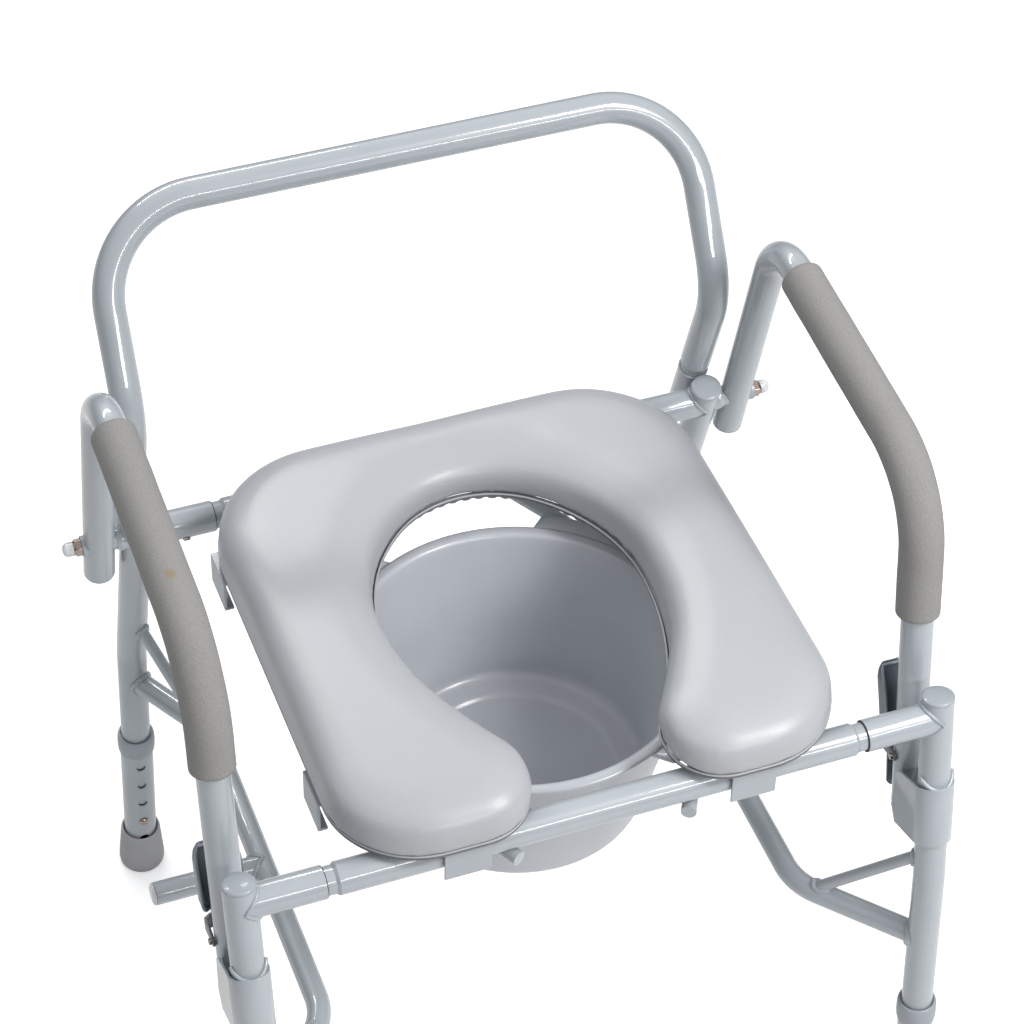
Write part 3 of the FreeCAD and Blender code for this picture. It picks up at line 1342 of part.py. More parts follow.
clips = []
for sign in (-1, 1):
    clip_centre = sign * dim.clip_x + dim.hole_dx
    clips.append(front_clip(sign, clip_centre))
    clips.append(rear_clip(sign, clip_centre))
    clips.append(side_clip(sign, "r", 294, 331))
    clips.append(side_clip(sign, "f", 54, 90))
set_piece("seat_clips", clips)


# ---------------------------------------------------------------- check and write
doc.recompute()
failed = [o.Name for o in doc.Objects if "Invalid" in o.State or "Error" in o.State]
if failed:
    raise RuntimeError("objects failed to compute: " + ", ".join(failed))
if len({o.Label for o in pieces}) != len(pieces):
    raise RuntimeError("piece names must be unique")
for obj in pieces:
    if obj.Shape.isNull() or not obj.Shape.isValid() or not obj.Shape.Solids:
        raise RuntimeError("bad shape: " + obj.Label)
os.makedirs("parts", exist_ok=True)
for obj in pieces:
    obj.Shape.exportStep(os.path.join("parts", obj.Label + ".step"))
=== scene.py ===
"""Commode chair: four bent legs, padded seat with an opening to the front, bucket, foam-covered
arms and release levers. The chair stands on z = 0 and faces -Y; "left" is -X, "right" is +X.
Positions go through P() in millimetres. Radii, profiles and widths are in metres unless a
comment says millimetres."""
import bpy, bmesh, json, math, random
import numpy as np
from mathutils import Vector, Matrix, noise


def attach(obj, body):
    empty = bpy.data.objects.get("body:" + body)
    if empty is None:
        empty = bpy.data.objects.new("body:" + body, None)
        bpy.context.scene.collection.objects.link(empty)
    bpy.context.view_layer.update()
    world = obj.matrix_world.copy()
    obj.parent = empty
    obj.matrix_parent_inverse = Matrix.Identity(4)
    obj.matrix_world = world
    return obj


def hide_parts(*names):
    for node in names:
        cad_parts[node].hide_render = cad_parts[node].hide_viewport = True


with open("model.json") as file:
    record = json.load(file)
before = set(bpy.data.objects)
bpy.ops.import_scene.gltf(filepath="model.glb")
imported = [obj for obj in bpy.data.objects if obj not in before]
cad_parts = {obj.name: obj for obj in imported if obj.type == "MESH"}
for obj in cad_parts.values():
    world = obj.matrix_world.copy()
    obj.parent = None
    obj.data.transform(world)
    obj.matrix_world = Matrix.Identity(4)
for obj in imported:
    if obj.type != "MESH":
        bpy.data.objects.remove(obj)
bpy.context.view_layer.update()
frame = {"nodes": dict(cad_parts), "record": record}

NODES = frame["nodes"]
rng = random.Random(7)                # phases of the weld lumps

SIDES = (("left", -1), ("right", 1))
Y_ORIGIN = 0.20755                    # front leg tops lie this far in front of the origin


def P(x, y, z):
    """Millimetres, y measured back from the front leg tops, z from the floor."""
    return Vector((x / 1000.0, y / 1000.0 - Y_ORIGIN, z / 1000.0))


# ------------------------------------------------------------------ driving dimensions
TUBE_R = 0.0127                       # legs and cross tubes
WELD_R = TUBE_R + 0.0002              # surface the weld beads lie on
BRACE_R = 0.0097                      # side braces and their stubs
ROD_R = 0.0051                        # gusset rods

# Millimetres
LEG_TOP_Z = 507.0
CROSS_Z = 486.7                       # cross tubes and pivots
BRACE_X, BRACE_Z = 201.0, 257.0
STUB_X, STUB_Y = 292.0, 212.0         # outer end of the stub on each brace
ARM_X = 275.2
ARM_CORNER = (64.4, 666.0)            # (y, z) where the arm turns down
ARM_FOOT = (21.3, 367.0)              # (y, z) on the axis of the arm's lower run

# x, y: leg top. slope: y travel per mm of drop, down to kink_z. splay: the same below the kink.
# socket_x, cross_y: inner end of the cross tube socket. brace_y: start of the weld to the brace.
LEG_PLAN = {
    "front": dict(x=274.7, y=0.0, slope=-0.163, kink_z=332.0, splay=-0.07,
                  socket_x=213.0, cross_y=-3.3, brace_y=51.0),
    "rear": dict(x=245.2, y=380.5, slope=0.309, kink_z=294.0, splay=0.07,
                 socket_x=181.5, cross_y=386.8, brace_y=370.0),
}
LEG_SPLAY_X = 0.014                   # outward travel per unit of drop below the kink
REAR_CROSS_Y = LEG_PLAN["rear"]["cross_y"]


class Leg:
    """Leg axis: an upper run from top to kink, then a lower run to the floor."""

    def __init__(self, place, side_name, side):
        plan = LEG_PLAN[place]
        self.name, self.side, self.plan = f"{place}_{side_name}", side, plan
        x, y, kink_z = side * plan["x"], plan["y"], plan["kink_z"]
        self.top = P(x, y, LEG_TOP_Z)
        self.kink = P(x, y + plan["slope"] * (LEG_TOP_Z - kink_z), kink_z)
        self.upper_dir = (self.kink - self.top).normalized()
        self.lower_dir = Vector((side * LEG_SPLAY_X, plan["splay"], -1)).normalized()

    def upper(self, z):
        """Point on the upper run at height z mm."""
        return self.top + self.upper_dir * ((z / 1000.0 - self.top.z) / self.upper_dir.z)

    def lower(self, z):
        """Point on the lower run at height z mm."""
        return self.kink + self.lower_dir * ((z / 1000.0 - self.kink.z) / self.lower_dir.z)


LEGS = [Leg(place, name, side) for name, side in SIDES for place in LEG_PLAN]
LEG_NAMED = {leg.name: leg for leg in LEGS}


# ------------------------------------------------------------------ shader helpers
def new_material(name):
    mat = bpy.data.materials.new(name)
    mat.use_nodes = True
    return mat, mat.node_tree, mat.node_tree.nodes["Principled BSDF"]


def set_sockets(target, **sockets):
    """Set inputs by name, with an underscore for each space."""
    for name, value in sockets.items():
        target.inputs[name.replace("_", " ")].default_value = value


def add_node(tree, kind, operation=None, **sockets):
    node = tree.nodes.new(kind)
    if operation:
        node.operation = operation
    set_sockets(node, **sockets)
    return node


def add_texture(tree, coords, kind, **sockets):
    """Texture in object coordinates."""
    node = add_node(tree, kind, **sockets)
    tree.links.new(coords.outputs["Object"], node.inputs["Vector"])
    return node


def add_ramp(tree, factor, low, high):
    """Colour ramp between two (position, RGBA) stops."""
    node = add_node(tree, "ShaderNodeValToRGB")
    stops = node.color_ramp.elements
    stops[0].position, stops[1].position = low[0], high[0]
    stops[0].color, stops[1].color = low[1], high[1]
    tree.links.new(factor, node.inputs["Fac"])
    return node


def add_bump(tree, shader, height, strength, distance):
    node = add_node(tree, "ShaderNodeBump", Strength=strength, Distance=distance)
    tree.links.new(height, node.inputs["Height"])
    tree.links.new(node.outputs["Normal"], shader.inputs["Normal"])


def srgb(code):
    """Linear RGB of a hex colour."""
    values = [int(code[i:i + 2], 16) / 255.0 for i in (0, 2, 4)]
    return tuple(c / 12.92 if c <= 0.04045 else ((c + 0.055) / 1.055) ** 2.4 for c in values)


# ------------------------------------------------------------------ materials
def plain_material(name, color, rough, metal=0.0, coat=0.0, coat_rough=0.1, transmission=0.0,
                   vary=0.04, bump=None):
    """Surface with a faint drift in tone; vary is its share either way.
    bump is (noise scale, strength, distance)."""
    mat, tree, shader = new_material(name)
    set_sockets(shader, Roughness=rough, Metallic=metal, Coat_Weight=coat,
                Coat_Roughness=coat_rough, Transmission_Weight=transmission)
    coords = add_node(tree, "ShaderNodeTexCoord")
    drift = add_texture(tree, coords, "ShaderNodeTexNoise", Scale=18.0, Detail=4.0)
    darker = tuple(c * (1 - vary) for c in color) + (1,)
    lighter = tuple(min(1, c * (1 + vary)) for c in color) + (1,)
    ramp = add_ramp(tree, drift.outputs["Fac"], low=(0.3, darker), high=(0.7, lighter))
    tree.links.new(ramp.outputs["Color"], shader.inputs["Base Color"])
    if bump:
        scale, strength, distance = bump
        grain = add_texture(tree, coords, "ShaderNodeTexNoise", Scale=scale, Detail=2.0)
        add_bump(tree, shader, grain.outputs["Fac"], strength, distance)
    return mat


def pad_material():
    """Vinyl skin with a fine pebble grain."""
    mat, tree, shader = new_material("pad_skin")
    set_sockets(shader, Roughness=0.37, Coat_Weight=0.18, Coat_Roughness=0.30)
    coords = add_node(tree, "ShaderNodeTexCoord")
    drift = add_texture(tree, coords, "ShaderNodeTexNoise", Scale=6.0, Detail=4.0)
    ramp = add_ramp(tree, drift.outputs["Fac"], low=(0.3, (0.372, 0.384, 0.404, 1)),
                    high=(0.75, (0.398, 0.410, 0.430, 1)))
    tree.links.new(ramp.outputs["Color"], shader.inputs["Base Color"])
    pebbles = add_texture(tree, coords, "ShaderNodeTexVoronoi", Scale=900.0)
    grain = add_texture(tree, coords, "ShaderNodeTexNoise", Scale=1500.0, Detail=2.0)
    total = add_node(tree, "ShaderNodeMath", operation="ADD")
    tree.links.new(pebbles.outputs["Distance"], total.inputs[0])
    tree.links.new(grain.outputs["Fac"], total.inputs[1])
    add_bump(tree, shader, total.outputs[0], strength=0.16, distance=0.0005)
    return mat


def foam_material():
    """Closed-cell foam: matt, pitted, lightly speckled, with one small brownish mark."""
    mat, tree, shader = new_material("foam_sleeve")
    set_sockets(shader, Roughness=0.85, Specular_IOR_Level=0.22)
    coords = add_node(tree, "ShaderNodeTexCoord")
    speckle = add_texture(tree, coords, "ShaderNodeTexNoise", Scale=1100.0, Detail=2.0)
    ramp = add_ramp(tree, speckle.outputs["Fac"], low=(0.36, srgb("858482") + (1,)),
                    high=(0.62, srgb("91908e") + (1,)))
    # The mark lies on top of the left sleeve: blotches that fade out within 12 mm of its middle.
    blotch = add_texture(tree, coords, "ShaderNodeTexNoise", Scale=160.0, Detail=4.0,
                         Roughness=0.7)
    away = add_node(tree, "ShaderNodeVectorMath", operation="DISTANCE")
    away.inputs[1].default_value = tuple(P(-ARM_X, 134, 690))
    tree.links.new(coords.outputs["Object"], away.inputs[0])
    near = add_node(tree, "ShaderNodeMapRange", From_Min=0.002, From_Max=0.012, To_Min=1.0,
                    To_Max=0.0)
    tree.links.new(away.outputs["Value"], near.inputs["Value"])
    both = add_node(tree, "ShaderNodeMath", operation="MULTIPLY")
    tree.links.new(near.outputs["Result"], both.inputs[0])
    tree.links.new(blotch.outputs["Fac"], both.inputs[1])
    mask = add_ramp(tree, both.outputs[0], low=(0.34, (0, 0, 0, 1)),
                    high=(0.50, (0.6, 0.6, 0.6, 1)))
    mix = add_node(tree, "ShaderNodeMixRGB", Color2=srgb("8c7a5a") + (1,))
    tree.links.new(mask.outputs["Color"], mix.inputs["Fac"])
    tree.links.new(ramp.outputs["Color"], mix.inputs["Color1"])
    tree.links.new(mix.outputs["Color"], shader.inputs["Base Color"])
    pits = add_texture(tree, coords, "ShaderNodeTexVoronoi", Scale=750.0)
    add_bump(tree, shader, pits.outputs["Distance"], strength=0.35, distance=0.0005)
    return mat


FINISHES = {
    "frame_paint": dict(color=(0.352, 0.384, 0.412), rough=0.34, coat=0.95, coat_rough=0.035,
                        vary=0.02),
    "weld_paint": dict(color=(0.335, 0.370, 0.400), rough=0.36, coat=0.8, coat_rough=0.09,
                       vary=0.03, bump=(900.0, 0.25, 0.0004)),
    "cap_plastic": dict(color=(0.330, 0.362, 0.392), rough=0.36, coat=0.25, vary=0.03),
    "bright_hardware": dict(color=(0.42, 0.34, 0.29), rough=0.14, metal=1.0, vary=0.03),
    "spring_steel": dict(color=(0.55, 0.55, 0.56), rough=0.3, metal=1.0, vary=0.05),
    "dark_plastic": dict(color=srgb("555d65"), rough=0.34, coat=0.25, vary=0.06,
                         bump=(700.0, 0.12, 0.0004)),
    "collar_plastic": dict(color=srgb("969ca3"), rough=0.38, coat=0.1, vary=0.03),
    "board_plastic": dict(color=srgb("92979c"), rough=0.42, vary=0.04),
    "clip_plastic": dict(color=srgb("a3a8ae"), rough=0.36, coat=0.25, vary=0.03),
    "bucket_plastic": dict(color=(0.435, 0.455, 0.488), rough=0.30, coat=0.35, coat_rough=0.14,
                           vary=0.03, bump=(260.0, 0.06, 0.0006)),
    "tip_rubber": dict(color=srgb("a3a3a5"), rough=0.60, vary=0.05, bump=(500.0, 0.22, 0.0006)),
    "clear_plastic": dict(color=(0.86, 0.88, 0.90), rough=0.16, coat=0.5, vary=0.01,
                          transmission=0.45),
    # Lighter than the lever's dark plastic: a painted highlight along the lever's edge
    "lever_rim_highlight": dict(color=srgb("7d858c"), rough=0.3, coat=0.4, vary=0.04),
    # Near-black line under the pad's lip: painted shade of the gap between pad and board
    "board_gap_shade": dict(color=(0.13, 0.135, 0.14), rough=0.5, vary=0.02),
    "gap_shadow": dict(color=(0.03, 0.035, 0.04), rough=0.6, vary=0.0),
}
MATERIALS = {name: plain_material(name, **finish) for name, finish in FINISHES.items()}
MATERIALS["pad_skin"] = pad_material()
MATERIALS["foam_sleeve"] = foam_material()

# The CAD pieces' slots carry the same names as the materials.
for subpart in frame["record"]["subparts"]:
    slots = NODES[subpart["node"]].data.materials
    slots.clear()
    slots.append(MATERIALS[subpart["material_slot"]])


# ------------------------------------------------------------------ mesh helpers
def link_object(name, data):
    obj = bpy.data.objects.new(name, data)
    bpy.context.scene.collection.objects.link(obj)
    return obj


def build(name, mesh, material, smooth=True):
    """Object from (verts, faces) with its normals made consistent."""
    verts, faces = mesh
    data = bpy.data.meshes.new(name)
    data.from_pydata([tuple(v) for v in verts], [], faces)
    data.update()
    bm = bmesh.new()
    bm.from_mesh(data)
    bmesh.ops.recalc_face_normals(bm, faces=bm.faces)
    bm.to_mesh(data)
    bm.free()
    if smooth:
        data.shade_smooth()
    obj = link_object(name, data)
    data.materials.append(MATERIALS[material])
    return obj


def declare(obj, body, replaced=None):
    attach(obj, body)
    if replaced:
        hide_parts(replaced)


def make(name, mesh, material, body, replaced=None, smooth=True):
    declare(build(name, mesh, material, smooth), body, replaced)


def merge(parts):
    verts, faces = [], []
    for part_verts, part_faces in parts:
        first = len(verts)
        verts += list(part_verts)
        faces += [tuple(i + first for i in face) for face in part_faces]
    return verts, faces


def grid_faces(rows, cols, wrap):
    """Quads over rows of points; wrap closes each row into a ring."""
    faces = []
    for i in range(rows - 1):
        for j in range(cols if wrap else cols - 1):
            j2 = (j + 1) % cols
            faces.append((i * cols + j, i * cols + j2, (i + 1) * cols + j2, (i + 1) * cols + j))
    return faces


def end_faces(rows, cols):
    """Caps over the first and last ring of a grid."""
    return [tuple(range(cols)), tuple((rows - 1) * cols + j for j in range(cols))]


def axis_frame(direction):
    """Two unit vectors across the direction, and the direction itself."""
    axis = direction.normalized()
    helper = Vector((0, 0, 1)) if abs(axis.z) < 0.9 else Vector((1, 0, 0))
    across = axis.cross(helper).normalized()
    return across, axis.cross(across).normalized(), axis


def lathe(base, direction, profile, seg, floor=None):
    """Turn (radius, height) pairs about an axis. Radius 0 gives a single point.
    Ring points below the floor height are lifted onto it."""
    u, v, axis = axis_frame(direction)
    verts, faces, rings = [], [], []
    for radius, height in profile:
        centre = base + axis * height
        if radius < 1e-7:
            rings.append([len(verts)])
            verts.append(centre)
            continue
        rings.append(list(range(len(verts), len(verts) + seg)))
        for k in range(seg):
            a = 2 * math.pi * k / seg
            point = centre + u * (radius * math.cos(a)) + v * (radius * math.sin(a))
            if floor is not None and point.z < floor:
                point.z = floor
            verts.append(point)
    for low, high in zip(rings, rings[1:]):
        for k in range(seg):
            k2 = (k + 1) % seg
            if len(low) == 1:
                faces.append((low[0], high[k], high[k2]))
            elif len(high) == 1:
                faces.append((low[k], high[0], low[k2]))
            else:
                faces.append((low[k], high[k], high[k2], low[k2]))
    return verts, faces


def sweep(path, radius, seg, closed=False):
    """Tube along a path. radius is a number or a function of (share of length, angle)."""
    n = len(path)
    verts, faces = [], []
    first = (path[1] - path[0]).normalized()
    u, v, _ = axis_frame(first)
    previous = first
    for i in range(n):
        if closed:
            tangent = (path[(i + 1) % n] - path[i - 1]).normalized()
        elif i == 0:
            tangent = first
        elif i == n - 1:
            tangent = (path[-1] - path[-2]).normalized()
        else:
            tangent = (path[i + 1] - path[i - 1]).normalized()
        turn = previous.rotation_difference(tangent)
        u, v, previous = turn @ u, turn @ v, tangent
        for k in range(seg):
            a = 2 * math.pi * k / seg
            r = radius(i / (n - 1), a) if callable(radius) else radius
            verts.append(path[i] + u * (r * math.cos(a)) + v * (r * math.sin(a)))
    for i in range(n if closed else n - 1):
        j = (i + 1) % n
        for k in range(seg):
            k2 = (k + 1) % seg
            faces.append((i * seg + k, j * seg + k, j * seg + k2, i * seg + k2))
    if not closed:
        start, end = len(verts), len(verts) + 1
        verts += [path[0], path[-1]]
        for k in range(seg):
            k2 = (k + 1) % seg
            faces.append((start, k, k2))
            faces.append((end, (n - 1) * seg + k2, (n - 1) * seg + k))
    return verts, faces


def points_between(start, end, count):
    """Even points from start, leaving out the end."""
    return [start.lerp(end, k / count) for k in range(count)]


def round_corner(before, corner, after, radius, count):
    """Tangent point where the arc starts, its points without the last, and where it ends."""
    to_before = (before - corner).normalized()
    to_after = (after - corner).normalized()
    half = to_before.angle(to_after) / 2
    reach = radius / math.tan(half)
    start, end = corner + to_before * reach, corner + to_after * reach
    centre = corner + (to_before + to_after).normalized() * (radius / math.sin(half))
    e1 = (start - centre) / radius
    normal = e1.cross((end - centre) / radius).normalized()
    e2 = normal.cross(e1)
    turn = math.pi - 2 * half
    arc = []
    for k in range(count):
        a = turn * k / count
        arc.append(centre + e1 * (radius * math.cos(a)) + e2 * (radius * math.sin(a)))
    return start, arc, end


# ------------------------------------------------------------------ welds
ROD_TOP_Z = 353.0                     # gusset rod on the leg
ROD_FOOT_SHARE = 0.88                 # its foot, as a share of the way from leg to brace weld start
BACKREST_X = 243.8
BACKREST_BEHIND = 26.7                # backrest axis behind the rear leg axis, at the leg top
BACKREST_SLOPE = -0.3144              # its y travel per mm of height
# (height at the sides, change at the front of the leg), mm: the latch bracket's two edges
LATCH_EDGES = ((436.0, -9.0), (371.0, 3.6))


def weld_bead(start, toward, radius, axis_point, axis_dir, axis_radius, width, lumps, seg=72):
    """Lumpy ring where a tube from start first meets the tube about another axis."""
    u, v, toward = axis_frame(toward)
    axis_dir = axis_dir.normalized()
    points = []
    for k in range(seg):
        a = 2 * math.pi * k / seg
        origin = start + u * (radius * math.cos(a)) + v * (radius * math.sin(a))
        offset = origin - axis_point
        offset = offset - axis_dir * offset.dot(axis_dir)
        step = toward - axis_dir * toward.dot(axis_dir)
        qa, qb = step.dot(step), 2 * offset.dot(step)
        qc = offset.dot(offset) - axis_radius * axis_radius
        root = math.sqrt(max(0.0, qb * qb - 4 * qa * qc))
        points.append(origin + toward * ((-qb - root) / (2 * qa)))
    phase = rng.random() * 6.28

    def bead_radius(share, angle):
        lump = abs(math.sin(share * lumps * math.pi + phase))
        return width * (1.0 + 0.20 * lump + 0.12 * math.sin(share * 17 + phase))
    return sweep(points, bead_radius, seg=10, closed=True)


def weld_seam(points, width, lumps):
    """Open lumpy bead, thinner towards its ends."""
    phase = rng.random() * 6.28

    def seam_radius(share, angle):
        taper = math.sin(min(1, share * 8, (1 - share) * 8) * 1.57)
        lump = abs(math.sin(share * lumps * math.pi + phase))
        return width * (0.75 + 0.25 * taper + 0.2 * lump)
    return sweep(points, seam_radius, seg=8)


def make_weld_beads():
    beads = []
    for leg in LEGS:
        side, plan = leg.side, leg.plan
        # cross tube socket to leg
        mouth = P(side * plan["socket_x"], plan["cross_y"], CROSS_Z)
        beads.append(weld_bead(mouth, Vector((side, 0, 0)), WELD_R, leg.top, leg.upper_dir,
                               WELD_R, width=0.0015, lumps=26))
        # brace to leg
        on_leg = leg.lower(BRACE_Z)
        on_brace = P(side * BRACE_X, plan["brace_y"], BRACE_Z)
        outward = on_leg - on_brace
        outward.z = 0
        beads.append(weld_bead(on_brace, outward.normalized(), BRACE_R, leg.kink, leg.lower_dir,
                               WELD_R, width=0.0024, lumps=18))
        # both ends of the gusset rod
        rod_top = leg.upper(ROD_TOP_Z)
        rod_foot = on_leg.lerp(on_brace, ROD_FOOT_SHARE)
        rod_dir = (rod_foot - rod_top).normalized()
        for start, toward, axis_point, axis_dir, axis_radius in (
                (rod_foot, -rod_dir, leg.top, leg.upper_dir, WELD_R),
                (rod_top, rod_dir, on_leg, (on_brace - on_leg).normalized(), BRACE_R)):
            beads.append(weld_bead(start, toward, ROD_R, axis_point, axis_dir, axis_radius,
                                   width=0.0022, lumps=12, seg=48))
    for _, side in SIDES:
        # stub to brace
        beads.append(weld_bead(P(side * STUB_X, STUB_Y, BRACE_Z), Vector((-side, 0, 0)), BRACE_R,
                               P(side * BRACE_X, 0, BRACE_Z), Vector((0, 1, 0)), BRACE_R,
                               width=0.0018, lumps=20))
    make("weld_beads", merge(beads), "weld_paint", "frame")


def make_weld_seams():
    seams = []
    for side_name, side in SIDES:
        # backrest socket along the back of the rear leg
        rear = LEG_NAMED["rear_" + side_name]
        backrest_y = rear.plan["y"] + BACKREST_BEHIND
        for edge in (-1, 1):
            line = []
            for i in range(30):
                z = 470 + i * 1.1
                y = backrest_y + (z - LEG_TOP_Z) * BACKREST_SLOPE
                middle = rear.upper(z) * 0.5 + P(side * BACKREST_X, y, z) * 0.5
                line.append(middle + Vector((edge * 0.0042, 0, 0)))
            seams.append(weld_seam(line, width=0.0026, lumps=16))
        # latch bracket edges round the front of the front leg
        front = LEG_NAMED["front_" + side_name]
        for edge_z, change in LATCH_EDGES:
            line = []
            for i in range(25):
                a = math.radians(-78 + i * 156 / 24)
                centre = front.upper(edge_z + change * math.cos(a))
                line.append(centre + Vector((math.sin(a) * 0.0137, -math.cos(a) * 0.0137, 0)))
            seams.append(weld_seam(line, width=0.0016, lumps=24))
    make("weld_seams", merge(seams), "weld_paint", "frame")


# ------------------------------------------------------------------ small dark and clear details
HOLE_Z = 72.0                         # mm, where the row of holes is counted from
HOLE_PITCH = 0.0254
HOLE_STEPS = (-1, 1, 2, 3)            # pitches up the leg
HOLE_R = 4.2                          # mm
HOLE_SURFACE_R = 0.01277              # just proud of the extension tube
# (radius, distance out from the stub's end)
PLUG_PROFILE = [(0.0072, 0.0030), (0.0086, 0.0026), (0.0094, 0.0016), (0.0095, 0.0006),
                (0.0090, 0.0003), (0.0070, 0.0003)]
# (radius, height)
DOME_PROFILE = [(0.0046, 0.0), (0.0058, 0.0), (0.0059, 0.0008), (0.0058, 0.0040),
                (0.0054, 0.0058), (0.0046, 0.0072), (0.0034, 0.0080), (0.0018, 0.0084),
                (0.0, 0.0085)]


def make_hole_shades(leg):
    """Dark crescents along the lower edges of the holes on the leg's front."""
    up = -leg.lower_dir
    forward = Vector((0, -1, 0))
    forward = (forward - leg.lower_dir * forward.dot(leg.lower_dir)).normalized()
    across = up.cross(forward).normalized()
    arc_steps = 18
    verts, faces = [], []
    for step in HOLE_STEPS:
        centre = leg.lower(HOLE_Z) + up * (step * HOLE_PITCH)
        base = len(verts)
        for i in range(arc_steps + 1):
            a = math.radians(188 + 164 * i / arc_steps)
            thickness = 1.7 * math.sin(math.pi * i / arc_steps) + 0.15
            for radius in (HOLE_R, HOLE_R - thickness):
                x, z = radius * math.cos(a) / 1000, radius * math.sin(a) / 1000
                out = math.sqrt(HOLE_SURFACE_R * HOLE_SURFACE_R - x * x)
                verts.append(centre + across * x + up * z + forward * out)
        for i in range(base, base + 2 * arc_steps, 2):
            faces.append((i, i + 2, i + 3, i + 1))
    make("hole_shade_" + leg.name, (verts, faces), "gap_shadow", "extension_" + leg.name)


def stub_plug(side, seg=40):
    """Clear plug on the outer end of a stub."""
    end = P(side * STUB_X, STUB_Y, BRACE_Z)
    m = len(PLUG_PROFILE)
    verts, faces = [], []
    for k in range(seg):
        a = 2 * math.pi * k / seg
        for radius, out in PLUG_PROFILE:
            verts.append(end + Vector((side * out, math.cos(a) * radius, math.sin(a) * radius)))
    for k in range(seg):
        k2 = (k + 1) % seg
        for j in range(m - 1):
            faces.append((k * m + j, k2 * m + j, k2 * m + j + 1, k * m + j + 1))
    faces.append(tuple(k * m for k in range(seg)))
    faces.append(tuple(k * m + m - 1 for k in range(seg)))
    return verts, faces


def make_socket_gap_shades():
    """Thin dark rings just inside the cross tube socket ends: painted shade in the socket mouths.
    """
    rings = []
    for plan in LEG_PLAN.values():
        for _, side in SIDES:
            centre = P(side * (plan["socket_x"] - 0.35), plan["cross_y"], CROSS_Z)
            circle = []
            for k in range(64):
                a = 2 * math.pi * k / 64
                circle.append(centre + Vector((0, math.cos(a) * 0.01175, math.sin(a) * 0.01175)))
            rings.append(sweep(circle, 0.00045, seg=8, closed=True))
    make("socket_gap_shades", merge(rings), "gap_shadow", "frame")


def make_nut_domes():
    """Clear domes over the pivot nuts."""
    domes = [lathe(P(side * 296.5, REAR_CROSS_Y, CROSS_Z), Vector((side, 0, 0)), DOME_PROFILE,
                   seg=40) for _, side in SIDES]
    make("nut_domes", merge(domes), "clear_plastic", "frame", "nut_dome_caps")


# ------------------------------------------------------------------ foam sleeves
FOAM_R = 0.0172
FOAM_BEND_R = 0.075
FOAM_END_ROUND = 0.0034
FOAM_STEP = 0.0025                    # spacing of rings on the straight runs
FOAM_BACK = (292.0, 686.484)          # (y, z) of the rear end, mm
FOAM_LOW = {"left": (51.118, 574.0), "right": (47.514, 549.0)}   # (y, z) of the lower end, mm


def foam_path(back, corner, low):
    start, arc, end = round_corner(back, corner, low, FOAM_BEND_R, 36)

    def straight(a, b):
        return points_between(a, b, max(2, int((b - a).length / FOAM_STEP)))
    return straight(back, start) + arc + straight(end, low) + [low]


def make_foam(side_name, side):
    path = foam_path(*(P(side * ARM_X, y, z)
                       for y, z in (FOAM_BACK, ARM_CORNER, FOAM_LOW[side_name])))
    length = len(path) * 0.0027       # nominal, for rounding the ends

    def foam_radius(share, angle):
        from_end = min(share, 1 - share) * length
        radius = FOAM_R
        if from_end <= FOAM_END_ROUND:
            short = FOAM_END_ROUND - from_end
            radius += math.sqrt(max(0.0, FOAM_END_ROUND ** 2 - short ** 2)) - FOAM_END_ROUND
        wave = noise.noise(Vector((share * 14, math.cos(angle) * 0.8,
                                   math.sin(angle) * 0.8 + side)))
        return radius + 0.00022 * wave
    make("foam_" + side_name, sweep(path, foam_radius, seg=48), "foam_sleeve",
         "arm_" + side_name, "arm_foam_" + side_name)


# ------------------------------------------------------------------ tips, collars, leg caps
COLLAR_Z = 160.5                      # mm, lower end of the collar
# Profiles are (radius, height along the leg).
TIP_PROFILE = [
    (0.0, 0.0004), (0.0170, 0.0004), (0.0188, 0.0012), (0.0198, 0.0030), (0.0203, 0.0062),
    (0.0202, 0.0110), (0.0198, 0.0170), (0.0192, 0.0250), (0.0185, 0.0340), (0.0179, 0.0415),
    (0.0176, 0.0450), (0.0173, 0.0472), (0.0167, 0.0482), (0.0160, 0.0483), (0.0156, 0.0476),
    (0.0152, 0.0455), (0.0147, 0.0448), (0.01445, 0.0400)]
COLLAR_PROFILE = [
    (0.01432, 0.0), (0.0148, 0.0), (0.0155, 0.0015), (0.0160, 0.0045), (0.0163, 0.0090),
    (0.0163, 0.0150), (0.0161, 0.0190), (0.0156, 0.0214), (0.0149, 0.0224), (0.0140, 0.0225),
    (0.0134, 0.0218), (0.0132, 0.0200), (0.0131, 0.0160)]
CAP_PROFILE = [
    (0.0110, -0.006), (0.0111, 0.0), (0.0127, 0.0001), (0.0129, 0.0005), (0.0129, 0.0014),
    (0.0126, 0.0021), (0.0118, 0.0027), (0.0100, 0.0032), (0.0070, 0.0036), (0.0035, 0.0038),
    (0.0, 0.0039)]


def make_tip_and_collar(leg):
    up = -leg.lower_dir
    body = "extension_" + leg.name
    make("tip_" + leg.name, lathe(leg.lower(0.0), up, TIP_PROFILE, seg=72, floor=0.0),
         "tip_rubber", body, "foot_tip_" + leg.name)
    make("collar_" + leg.name, lathe(leg.lower(COLLAR_Z), up, COLLAR_PROFILE, seg=64),
         "collar_plastic", body, "leg_collar_" + leg.name)


def make_leg_caps():
    caps = [lathe(leg.top + leg.upper_dir * 0.003, -leg.upper_dir, CAP_PROFILE, seg=64)
            for leg in LEGS]
    make("leg_caps", merge(caps), "cap_plastic", "frame", "leg_top_caps")


# ------------------------------------------------------------------ bucket
BUCKET_BASE = P(0, 169, 337)
